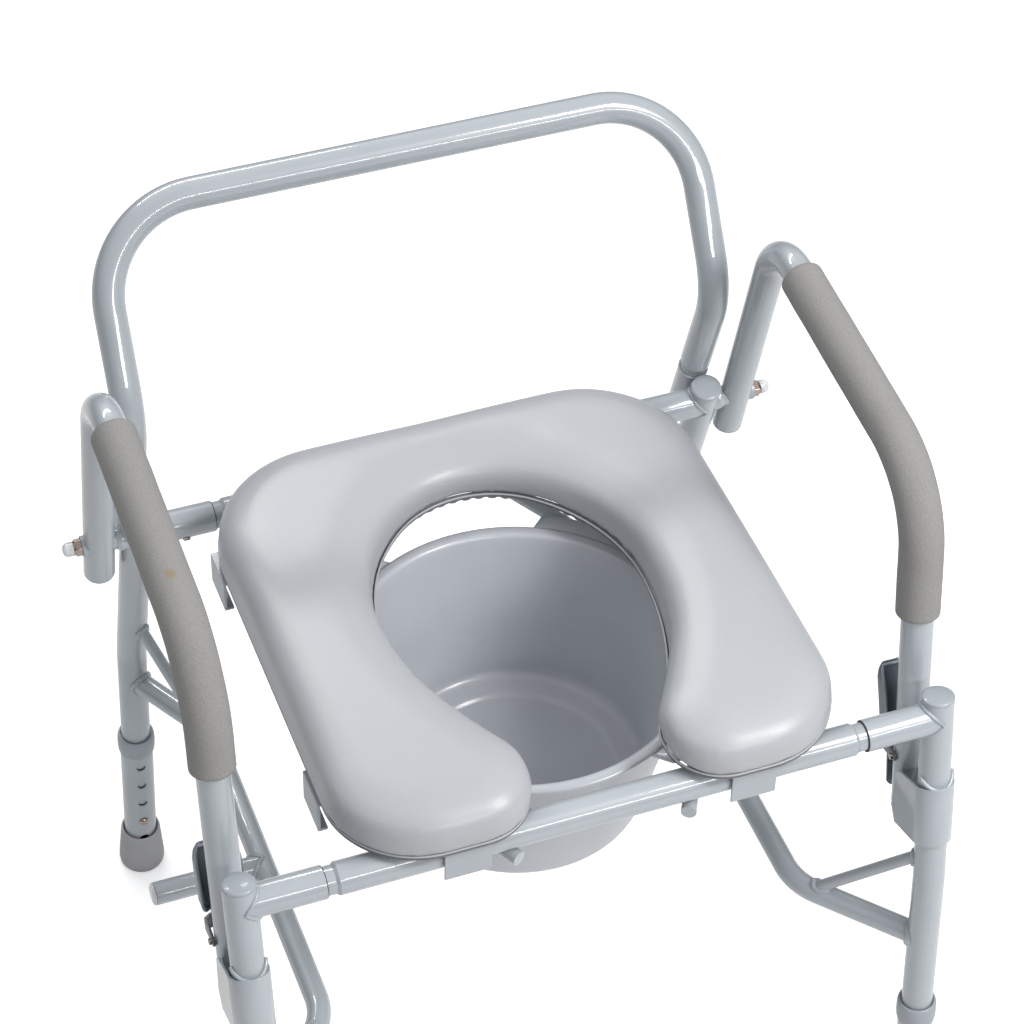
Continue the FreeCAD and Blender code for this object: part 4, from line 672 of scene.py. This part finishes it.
# (radius, height above the base): up the outside, over the rim, down the inside
BUCKET_OUTSIDE = [
    (0.0, 0.0030), (0.060, 0.0030), (0.0790, 0.0028), (0.0800, 0.0), (0.0960, 0.0),
    (0.1010, 0.0012), (0.1045, 0.0045), (0.1062, 0.0090), (0.1160, 0.0560), (0.1260, 0.1010),
    (0.1335, 0.1345), (0.1345, 0.1372)]
BUCKET_RIM = [
    (0.1400, 0.1374), (0.1422, 0.1382), (0.1430, 0.1400), (0.1424, 0.1414), (0.1405, 0.1420),
    (0.1370, 0.1420), (0.1345, 0.1417), (0.1328, 0.1406), (0.1318, 0.1385)]
BUCKET_INSIDE = [
    (0.1305, 0.1330), (0.1232, 0.1010), (0.1133, 0.0565), (0.1052, 0.0200), (0.1040, 0.0150),
    (0.1010, 0.0112), (0.0965, 0.0095), (0.0850, 0.0088), (0.0826, 0.0080), (0.0812, 0.0062),
    (0.0795, 0.0057), (0.060, 0.0057), (0.0, 0.0057)]
# Cross-section of a wing, (radius, height above the base)
WING_INNER_R = 0.1338
WING_SECTION = [
    (WING_INNER_R, 0.1375), (WING_INNER_R, 0.1400), (0.1560, 0.1402), (0.1590, 0.1400),
    (0.1605, 0.1390), (0.1608, 0.1376), (0.1600, 0.1373)]
WING_HALF_ANGLE = math.radians(65)
WING_OUTER_R = 0.16                   # nominal, for measuring along the wing
WING_END_ROUND = 0.012


def bucket_wing(side, n=60):
    """Flat arc plate beside the rim with rounded ends and a small turned edge."""
    verts = []
    for i in range(n + 1):
        a = -WING_HALF_ANGLE + 2 * WING_HALF_ANGLE * i / n
        from_end = min(i, n - i) / n * 2 * WING_HALF_ANGLE * WING_OUTER_R
        fullness = 1.0
        if from_end <= WING_END_ROUND:
            short = (WING_END_ROUND - from_end) / WING_END_ROUND
            fullness = math.sqrt(max(0.0, 1 - short ** 2))
        for radius, height in WING_SECTION:
            r = WING_INNER_R + (radius - WING_INNER_R) * (0.35 + 0.65 * fullness)
            verts.append(BUCKET_BASE + Vector((side * r * math.cos(a), r * math.sin(a), height)))
    m = len(WING_SECTION)
    return verts, grid_faces(n + 1, m, wrap=True) + end_faces(n + 1, m)


def make_bucket():
    shell = lathe(BUCKET_BASE, Vector((0, 0, 1)), BUCKET_OUTSIDE + BUCKET_RIM + BUCKET_INSIDE,
                  seg=144)
    make("bucket_shell", merge([shell, bucket_wing(-1), bucket_wing(1)]), "bucket_plastic",
         "bucket", "bucket")


# ------------------------------------------------------------------ seat outline, mm
SEAT_HALF_WIDTH = 205.0
SEAT_SHIFT = 1.2                      # whole outline, towards +X
SEAT_FRONT_Y, SEAT_BACK_Y = -31.5, 396.0
SEAT_BACK_CORNER_R, SEAT_FRONT_CORNER_R = 97.0, 78.0
LOBE_R = 44.0                         # front corners beside the slot
OPENING_SHIFT = 4.5                   # opening and slot, towards +X
OPENING_Y = 190.0                     # y where the opening is widest
OPENING_HALF_WIDTH = 105.5
OPENING_DEPTH = 130.0                 # from OPENING_Y back to the rear edge
OPENING_BACK_R = 85.0                 # rear arc of the opening
OPENING_SIDE_R = 262.0                # side arc in front of OPENING_Y
OPENING_SIDE_LENGTH = 140.0           # y extent of that arc
SLOT_HALF_WIDTH = 54.5
# Arc from the widest place that runs into the rear arc without a corner
OPENING_BLEND_R = ((OPENING_HALF_WIDTH ** 2 + (OPENING_DEPTH - OPENING_BACK_R) ** 2
                    - OPENING_BACK_R ** 2) / (2 * (OPENING_HALF_WIDTH - OPENING_BACK_R)))


def half_outline(inset, inner, front, side):
    """One half of the seat drawn on +X: back middle, outer edge, front, then the opening's side
    and back. inset moves the outer edge, inner the opening's edge, front the front edge."""
    shift = side * OPENING_SHIFT
    half_width = SEAT_HALF_WIDTH - inset + side * SEAT_SHIFT
    front_y, back_y = SEAT_FRONT_Y + front, SEAT_BACK_Y - inset
    slot_x = SLOT_HALF_WIDTH + inner + shift
    lobe_r = max(4.0, LOBE_R - inner)
    side_r = OPENING_SIDE_R + inner
    side_cx = OPENING_HALF_WIDTH + inner + shift - side_r
    side_y = OPENING_Y - OPENING_SIDE_LENGTH
    side_x = side_cx + math.sqrt(side_r ** 2 - OPENING_SIDE_LENGTH ** 2)
    # The side arc's tangent meets the slot's side at slot_y.
    tilt = math.asin(OPENING_SIDE_LENGTH / side_r)
    slot_y = side_y - (side_x - slot_x) / math.tan(tilt)
    slot_r = max(6.0, min(40.0, 0.9 * (slot_y - front_y - lobe_r) / math.tan(tilt / 2)))
    corners = [Vector((x, y, 0)) for x, y in (
        (0, back_y), (half_width, back_y), (half_width, front_y), (slot_x, front_y),
        (slot_x, slot_y), (side_x, side_y))]
    radii = (SEAT_BACK_CORNER_R - inset, SEAT_FRONT_CORNER_R - inset, lobe_r, slot_r)
    out, last = [], corners[0]
    for i, (radius, count) in enumerate(zip(radii, (22, 26, 8, 12)), 1):
        start, arc, end = round_corner(*corners[i - 1:i + 2], radius, 22)
        out += points_between(last, start, count) + arc
        last = end
    out += points_between(last, corners[5], 6)
    sweep_angle = math.atan2(side_y - OPENING_Y, side_x - side_cx)
    for k in range(30):
        a = sweep_angle * (1 - k / 30)
        out.append(Vector((side_cx + side_r * math.cos(a), OPENING_Y + side_r * math.sin(a), 0)))
    turn = math.atan2(OPENING_DEPTH - OPENING_BACK_R, OPENING_BLEND_R - OPENING_HALF_WIDTH)
    blend_r, back_r = OPENING_BLEND_R + inner, OPENING_BACK_R + inner
    for k in range(22):
        a = turn * k / 22
        out.append(Vector((shift + OPENING_HALF_WIDTH - OPENING_BLEND_R + blend_r * math.cos(a),
                           OPENING_Y + blend_r * math.sin(a), 0)))
    for k in range(15):
        a = turn + (math.pi / 2 - turn) * k / 14
        out.append(Vector((shift + back_r * math.cos(a),
                           OPENING_Y + OPENING_DEPTH - OPENING_BACK_R + back_r * math.sin(a), 0)))
    return out


def seat_loop(inset, inner, front):
    """The whole outline as one closed loop, with the same point count for every inset."""
    right = half_outline(inset, inner, front, 1)
    left = half_outline(inset, inner, front, -1)
    return right + [Vector((-p.x, p.y, 0)) for p in reversed(left[1:-1])]


# ------------------------------------------------------------------ seat pad
PAD_BOTTOM_Z, PAD_TOP_Z = 507.4, 545.4    # mm
PAD_SHRINK = 0.9                      # mm, inset all round
PAD_OUTER_INSET = 3.4                 # mm more on the outer edge
# Top edge profiles, mm: (inset, drop below the top)
PAD_OUTER_EDGE = [(0.0, 24.0), (0.25, 19.5), (1.1, 15.4), (2.8, 11.8), (5.4, 8.6), (8.8, 5.9),
                  (13.0, 3.8), (18.0, 2.2), (23.5, 1.05), (29.5, 0.35), (36.0, 0.0)]
PAD_INNER_EDGE = [(0.0, 24.0), (0.25, 18.6), (1.3, 14.6), (3.4, 12.2), (6.8, 10.0), (11.2, 7.9),
                  (16.4, 5.9), (22.4, 3.9), (28.5, 2.1), (34.5, 0.7), (40.0, 0.0)]
SWELL_LIMIT = 0.0026                  # greatest travel of the skin
SWELL_LOW_Z, SWELL_HIGH_Z = 0.5068, 0.5510
SWELL_FRAMES = 20


def pad_layers():
    """(inset, inner, front, z): rolled bottom edge, upright side, round outer shoulder and a
    long soft slope down into the opening."""
    outermost = PAD_SHRINK + PAD_OUTER_INSET
    layers = []
    for k in range(7):
        a = math.pi / 2 * k / 6
        inset = outermost + 3.4 * (1 - math.sin(a))
        inner = PAD_SHRINK + 0.5 * (1 - math.sin(a))
        layers.append((inset, inner, inset, PAD_BOTTOM_Z + 7.0 * (1 - math.cos(a))))
    widest = PAD_OUTER_EDGE[-1][0]
    for (outer, outer_drop), (inner, inner_drop) in zip(PAD_OUTER_EDGE, PAD_INNER_EDGE):
        front = (PAD_SHRINK + PAD_OUTER_INSET * (1 - outer / widest)
                 + 0.5 * (outer + inner) * 0.94)
        layers.append((outermost + outer, PAD_SHRINK + inner, front,
                       PAD_TOP_Z - 0.5 * (outer_drop + inner_drop)))
    return layers


def loft_pad():
    loops = [[P(p.x, p.y, z) for p in seat_loop(inset, inner, front)]
             for inset, inner, front, z in pad_layers()]
    rows, n = len(loops), len(loops[0])
    return ([p for loop in loops for p in loop],
            grid_faces(rows, n, wrap=True) + end_faces(rows, n))


def add_smooth(obj, name, iterations):
    smooth = obj.modifiers.new(name, "SMOOTH")
    smooth.factor, smooth.iterations = 0.5, iterations


def swell_with_cloth(pad):
    """Puff the skin up under pressure and return the simulated positions."""
    cloth = pad.modifiers.new("Cloth", "CLOTH")
    settings = cloth.settings
    settings.quality = 6
    settings.mass = 0.3
    settings.tension_stiffness = settings.compression_stiffness = 30
    settings.shear_stiffness = 12
    settings.bending_stiffness = 4
    settings.use_pressure = True
    settings.uniform_pressure_force = 4.0
    settings.effector_weights.gravity = 0.0
    cloth.collision_settings.use_collision = False
    cloth.collision_settings.use_self_collision = False
    scene = bpy.context.scene
    scene.frame_start, scene.frame_end = 1, SWELL_FRAMES
    cloth.point_cache.frame_start, cloth.point_cache.frame_end = 1, SWELL_FRAMES
    for number in range(1, SWELL_FRAMES + 1):
        scene.frame_set(number)
    depsgraph = bpy.context.evaluated_depsgraph_get()
    puffed = [vert.co.copy() for vert in pad.evaluated_get(depsgraph).data.vertices]
    pad.modifiers.remove(cloth)
    scene.frame_set(1)
    return puffed


def swell_pad(pad):
    rest = [vert.co.copy() for vert in pad.data.vertices]
    puffed = swell_with_cloth(pad)
    # Even the displacement out so the skin swells without creases.
    edges = np.array([e.vertices[:] for e in pad.data.edges])
    moves = np.array([[*(b - a)] for a, b in zip(rest, puffed)])
    degree = np.bincount(edges.ravel(), minlength=len(moves)).reshape(-1, 1).astype(float)
    for _ in range(60):
        total = np.zeros_like(moves)
        np.add.at(total, edges[:, 0], moves[edges[:, 1]])
        np.add.at(total, edges[:, 1], moves[edges[:, 0]])
        moves = 0.35 * moves + 0.65 * total / np.maximum(degree, 1)
    puffed = [a + Vector(move) for a, move in zip(rest, moves)]
    for vert, a, b in zip(pad.data.vertices, rest, puffed):
        move = b - a
        if move.length > SWELL_LIMIT:
            move = move.normalized() * SWELL_LIMIT
        # The underside stays flat on the board.
        move = move * max(0.0, min(1.0, (a.z - 0.5095) / 0.010))
        point = a + move
        point.z = max(SWELL_LOW_Z, min(SWELL_HIGH_Z, point.z))
        vert.co = point
    pad.data.update()


def make_seat_cushion():
    pad = build("pad_shape", loft_pad(), "pad_skin")
    bpy.context.view_layer.objects.active = pad
    pad.select_set(True)
    remesh = pad.modifiers.new("Remesh", "REMESH")
    remesh.mode = "VOXEL"
    remesh.voxel_size = 0.0045
    remesh.use_smooth_shade = True
    add_smooth(pad, "Even", iterations=4)
    bpy.ops.object.modifier_apply(modifier="Remesh")
    bpy.ops.object.modifier_apply(modifier="Even")
    swell_pad(pad)
    add_smooth(pad, "Even2", iterations=3)
    bpy.ops.object.modifier_apply(modifier="Even2")
    subdivide = pad.modifiers.new("Sub", "SUBSURF")
    subdivide.levels = subdivide.render_levels = 1
    bpy.ops.object.modifier_apply(modifier="Sub")
    pad.data.shade_smooth()
    pad.name = "seat_cushion"
    declare(pad, "seat", "seat_pad")


# ------------------------------------------------------------------ edges under the pad
RUN_GAP = 1.2                         # mm, spacing of points along the edges
RIM_Z, RIM_LOW_Z = 507.0, 503.6       # mm
SCALLOP_DEPTH, SCALLOP_PITCH = 3.2, 10.5  # mm
RIM_THICKNESS = 2.2                   # mm


def edge_tube(inset, inner, z, radius):
    """Thin tube along the seat outline at height z mm, crowded points left out."""
    points = [P(p.x, p.y, z) for p in seat_loop(inset, inner, inset)]
    run = points[:1]
    for point in points[1:]:
        if (point - run[-1]).length > RUN_GAP / 1000:
            run.append(point)
    if (run[0] - run[-1]).length < RUN_GAP / 1000:
        run.pop()
    return sweep(run, radius, seg=8, closed=True)


def make_board_rim():
    """Scalloped rim under the back of the opening."""
    line = [p for p in seat_loop(7.0, 3.2, 7.0) if 228 < p.y < 332 and abs(p.x) < 112]
    line.sort(key=lambda p: math.atan2(p.y - OPENING_Y, p.x - OPENING_SHIFT))
    fine = []
    for a, b in zip(line, line[1:]):
        fine += points_between(a, b, max(1, int((b - a).length / RUN_GAP)))
    verts, run = [], 0.0
    for i, p in enumerate(fine):
        if i:
            run += (p - fine[i - 1]).length
        low = RIM_LOW_Z - SCALLOP_DEPTH * abs(math.sin(run / SCALLOP_PITCH * math.pi)) ** 0.7
        outward = Vector((p.x - OPENING_SHIFT, p.y - OPENING_Y, 0)).normalized()
        outer = p + outward * RIM_THICKNESS
        verts += [P(q.x, q.y, z)
                  for q, z in ((p, RIM_Z), (p, low), (outer, low), (outer, RIM_Z))]
    faces = grid_faces(len(fine), 4, wrap=True) + end_faces(len(fine), 4)
    make("board_rim", (verts, faces), "board_plastic", "seat", smooth=False)


def make_seat_edges():
    make("pad_lip", edge_tube(7.2, 0.7, z=507.9, radius=0.0009), "pad_skin", "seat")
    # Dark tube under the pad lip: painted shade of the gap between the pad and the board
    make("board_gap_shade_line", edge_tube(7.8, 1.5, z=505.6, radius=0.0013), "board_gap_shade", "seat")
    make_board_rim()


# ------------------------------------------------------------------ release levers
# Lever lengths are mm from its cross pin: "along" runs down the arm's lower run, "behind" is
# the distance behind the arm's axis.
PIN_Z = LEG_TOP_Z - 93.0
HOOD_TOP, HOOD_LENGTH = -68, 55.0
HOOD_CORNER_R = 4.5
HOOD_ROWS = 52
# (along, behind) of the hood's back and of its front edge, and (along, half width)
HOOD_BACK = [(-68, 33.0), (-62, 31.6), (-48, 28.0), (-30, 24.8), (-14, 23.2), (-13, 23.1)]
HOOD_FRONT = [(-68, 29.0), (-65, 24.0), (-60, 18.0), (-52, 14.0), (-40, 11.8), (-26, 11.0),
              (-20, 12.6), (-16, 16.0), (-13, 21.0)]
HOOD_HALF_WIDTH = [(-68, 12.4), (-65, 14.8), (-60, 16.2), (-52, 16.6), (-25, 16.4),
                   (-20, 15.2), (-16, 13.2), (-13, 10.0)]
TONGUE_TOP, TONGUE_LENGTH, TONGUE_HALF_WIDTH = -15, 64.0, 8.6
TONGUE_ROWS, TONGUE_COLS = 44, 8
EAR_HALF_WIDTH = 14.2
# (behind, along): the first two points lie on the tongue, the rest go round the pin
EAR_OUTLINE = [(22.6, -6.5), (22.4, 6.5), (6.0, 4.2), (0.0, 4.4), (-3.2, 3.0), (-4.4, 0.0),
               (-3.2, -3.0), (0.0, -4.4), (6.0, -5.2)]
EAR_FOLD = [(19.5, -6.0), (19.5, 5.8)]    # where the ear bends in to the tongue


def table_value(table, station):
    """Straight-line value between a table's stations."""
    return float(np.interp(station, *zip(*table)))


def hood_section(along):
    """(x, behind) round the hood: up one side, across the back and down the other."""
    back, front = table_value(HOOD_BACK, along), table_value(HOOD_FRONT, along)
    w = table_value(HOOD_HALF_WIDTH, along)
    r = HOOD_CORNER_R
    depth = max(0.3, back - r - front)
    flank = [(-w, front + depth * k / 8) for k in range(9)]
    for k in range(1, 7):
        a = math.pi / 2 * k / 7
        flank.append((-w + r * (1 - math.cos(a)), back - r + r * math.sin(a)))
    across = [(-w + r + (2 * w - 2 * r) * k / 3, back) for k in range(4)]
    return flank + across + [(-x, behind) for x, behind in reversed(flank)]


def lever_tongue(place):
    """Flat tongue below the hood, with a slot left open for the plunger."""
    verts, faces = [], []
    cols = TONGUE_COLS + 1
    for i in range(TONGUE_ROWS + 1):
        along = TONGUE_TOP + TONGUE_LENGTH * i / TONGUE_ROWS
        w = TONGUE_HALF_WIDTH
        if along >= 43:
            w *= math.sqrt(max(0.02, 1 - ((along - 43) / 6.2) ** 2))
        for j in range(cols):
            x = -w + 2 * w * j / TONGUE_COLS
            verts.append(place(x, 22.2 - (along - 5) * 0.05 - abs(x) ** 2 * 0.004, along))
    for i in range(TONGUE_ROWS):
        along = TONGUE_TOP + TONGUE_LENGTH * (i + 0.5) / TONGUE_ROWS
        for j in range(TONGUE_COLS):
            if abs(along - 30.2) < 6.6 and 2 < j < 5:
                continue
            k = i * cols + j
            faces.append((k, k + 1, k + cols + 1, k + cols))
    return verts, faces


def lever_ear(place, side):
    """Ear that carries the shell on its cross pin."""
    verts = []
    for behind, along in EAR_OUTLINE:
        w = EAR_HALF_WIDTH
        if behind >= 18:
            w = TONGUE_HALF_WIDTH + (EAR_HALF_WIDTH - TONGUE_HALF_WIDTH) * (22.6 - behind) / 4.6
        verts.append(place(side * w, behind, along))
    verts += [place(side * EAR_HALF_WIDTH, behind, along) for behind, along in EAR_FOLD]
    return verts, [(0, 1, 10, 9), (9, 10, 2, 3, 4, 5, 6, 7, 8)]


def make_lever(side_name, side):
    dy, dz = ARM_FOOT[0] - ARM_CORNER[0], ARM_FOOT[1] - ARM_CORNER[1]
    length = math.hypot(dy, dz)
    down = Vector((0, dy / length, dz / length))
    back = Vector((0, -down.z, down.y))
    pin = P(side * ARM_X, ARM_CORNER[0] + dy * (PIN_Z - ARM_CORNER[1]) / dz, PIN_Z)

    def place(x, behind, along):
        return pin + Vector((x / 1000, 0, 0)) + back * (behind / 1000) + down * (along / 1000)

    stations = [HOOD_TOP + HOOD_LENGTH * i / HOOD_ROWS for i in range(HOOD_ROWS + 1)]
    sections = [hood_section(s) for s in stations]
    hood = [place(x, behind, s) for s, section in zip(stations, sections)
            for x, behind in section]
    edge = [(table_value(HOOD_HALF_WIDTH, s), table_value(HOOD_FRONT, s), s) for s in stations]
    rim = [place(w, behind, s) for w, behind, s in reversed(edge)]
    rim += [place(-w, behind, s) for w, behind, s in edge]
    body = "lever_" + side_name
    # The rim's shape is real; its lighter colour is a painted highlight along the hood's edge
    make("lever_rim_highlight_" + side_name, sweep(rim, 0.00125, seg=10), "lever_rim_highlight", body)

    shell = merge([(hood, grid_faces(len(sections), len(sections[0]), wrap=False)),
                   lever_tongue(place), lever_ear(place, -1), lever_ear(place, 1)])
    lever = build("lever_shell_" + side_name, shell, "dark_plastic")
    solid = lever.modifiers.new("Solid", "SOLIDIFY")
    solid.thickness, solid.offset = 0.0020, 0.0
    add_bevel(lever, "Bev", width=0.0006, segments=2, angle=50)
    declare(lever, body, "release_lever_" + side_name)


# ------------------------------------------------------------------ softened edges
# Bevel widths on the CAD pieces that stay
SOFT_EDGES = {"latch_brackets": 0.0006, "keeper_blocks": 0.0010, "seat_clips": 0.0006,
              "seat_board": 0.0008, "pivot_nuts": 0.0005, "pivot_bolts": 0.0004}


def add_bevel(obj, name, width, segments, angle):
    """Bevel edges sharper than the angle in degrees."""
    bevel = obj.modifiers.new(name, "BEVEL")
    bevel.width, bevel.segments = width, segments
    bevel.limit_method, bevel.angle_limit = "ANGLE", math.radians(angle)
    return bevel


def soften_cad_edges():
    for name, width in SOFT_EDGES.items():
        weld = NODES[name].modifiers.new("Weld", "WELD")
        weld.merge_threshold = 1e-5
        add_bevel(NODES[name], "Bevel", width, segments=3, angle=35).harden_normals = True


# ------------------------------------------------------------------ stage, light, camera
def make_floor():
    """White floor that glows a little to the camera and reflects less to other rays."""
    data = bpy.data.meshes.new("floor")
    data.from_pydata([(-6, -6, 0), (6, -6, 0), (6, 6, 0), (-6, 6, 0)], [], [(0, 1, 2, 3)])
    floor = link_object("floor", data)
    mat, tree, shader = new_material("floor_mat")
    set_sockets(shader, Emission_Color=(1, 1, 1, 1), Roughness=0.7)
    rays = add_node(tree, "ShaderNodeLightPath")
    mix = add_node(tree, "ShaderNodeMixRGB", Color1=(0.74, 0.74, 0.74, 1),
                   Color2=(0.90, 0.90, 0.90, 1))
    tree.links.new(rays.outputs["Is Camera Ray"], mix.inputs["Fac"])
    tree.links.new(mix.outputs["Color"], shader.inputs["Base Color"])
    glow = add_node(tree, "ShaderNodeMath", operation="MULTIPLY")
    glow.inputs[1].default_value = 0.32
    tree.links.new(rays.outputs["Is Camera Ray"], glow.inputs[0])
    tree.links.new(glow.outputs[0], shader.inputs["Emission Strength"])
    data.materials.append(mat)


def make_world():
    """Sky bright above and dark below, plain white to the camera."""
    world = bpy.data.worlds.new("world")
    bpy.context.scene.world = world
    world.use_nodes = True
    tree = world.node_tree
    background = tree.nodes["Background"]
    set_sockets(background, Strength=0.80)
    coords = add_node(tree, "ShaderNodeTexCoord")
    split = add_node(tree, "ShaderNodeSeparateXYZ")
    tree.links.new(coords.outputs["Generated"], split.inputs[0])
    ramp = add_ramp(tree, split.outputs["Z"], low=(0.0, (0.10, 0.105, 0.11, 1)),
                    high=(1.0, (1.15, 1.16, 1.18, 1)))
    for position, value in ((0.22, 0.22), (0.45, 0.62), (0.75, 1.0)):
        stop = ramp.color_ramp.elements.new(position)
        stop.color = (value * 0.985, value * 0.995, value * 1.01, 1)
    rays = add_node(tree, "ShaderNodeLightPath")
    mix = add_node(tree, "ShaderNodeMixRGB", Color2=(1.12, 1.12, 1.12, 1))
    tree.links.new(rays.outputs["Is Camera Ray"], mix.inputs["Fac"])
    tree.links.new(ramp.outputs["Color"], mix.inputs["Color1"])
    tree.links.new(mix.outputs["Color"], background.inputs["Color"])


def area_light(name, location, target, size, size_y, energy, color=(1, 1, 1)):
    light = bpy.data.lights.new(name, "AREA")
    light.energy, light.color, light.size = energy, color, size
    light.shape, light.size_y = "RECTANGLE", size_y
    obj = link_object(name, light)
    obj.location = location
    obj.rotation_mode = "QUATERNION"
    obj.rotation_quaternion = (Vector(target) - Vector(location)).to_track_quat("-Z", "Y")


def make_lights():
    area_light("key", location=(1.15, -1.3, 2.35), target=(0, 0, 0.45), size=0.6, size_y=0.9,
               energy=40, color=(1.0, 0.99, 0.98))
    area_light("front", location=(0.55, -1.95, 1.5), target=(0, 0, 0.5), size=1.5, size_y=0.13,
               energy=14)
    area_light("strip", location=(-0.3, 1.9, 2.3), target=(0, 0, 0.5), size=1.7, size_y=0.17,
               energy=24)


CAMERA_AZIMUTH = math.radians(21.241)     # view direction, turned from +Y towards +X
CAMERA_PITCH = math.radians(43.776)       # below the horizon
CAMERA_ROLL = math.radians(1.468)
CAMERA_TARGET = P(51.117, 321.46, LEG_TOP_Z - 30)
CAMERA_DISTANCE = 2.547987


def make_camera():
    data = bpy.data.cameras.new("camera")
    camera = link_object("camera", data)
    view = Vector((math.sin(CAMERA_AZIMUTH) * math.cos(CAMERA_PITCH),
                   math.cos(CAMERA_AZIMUTH) * math.cos(CAMERA_PITCH), -math.sin(CAMERA_PITCH)))
    level = view.cross(Vector((0, 0, 1))).normalized()
    upright = level.cross(view)
    cos_roll, sin_roll = math.cos(CAMERA_ROLL), math.sin(CAMERA_ROLL)
    right = level * cos_roll + upright * sin_roll
    up = -level * sin_roll + upright * cos_roll
    eye = CAMERA_TARGET - view * CAMERA_DISTANCE
    rows = [(right[i], up[i], -view[i], eye[i]) for i in range(3)]
    camera.matrix_world = Matrix((*rows, (0, 0, 0, 1)))
    data.sensor_width = 36.0
    data.lens = 110.5
    data.clip_start, data.clip_end = 0.05, 50
    bpy.context.scene.camera = camera
    bpy.context.scene.view_settings.view_transform = "Standard"


# ------------------------------------------------------------------ build
make_weld_beads()
for leg in LEGS:
    make_hole_shades(leg)
make("stub_plugs", merge([stub_plug(side) for _, side in SIDES]), "clear_plastic", "frame")
make_socket_gap_shades()
make_weld_seams()
for side_name, side in SIDES:
    make_foam(side_name, side)
for leg in LEGS:
    make_tip_and_collar(leg)
make_leg_caps()
make_nut_domes()
make_bucket()
make_seat_cushion()
make_seat_edges()
for side_name, side in SIDES:
    make_lever(side_name, side)
soften_cad_edges()
make_floor()
make_world()
make_lights()
make_camera()
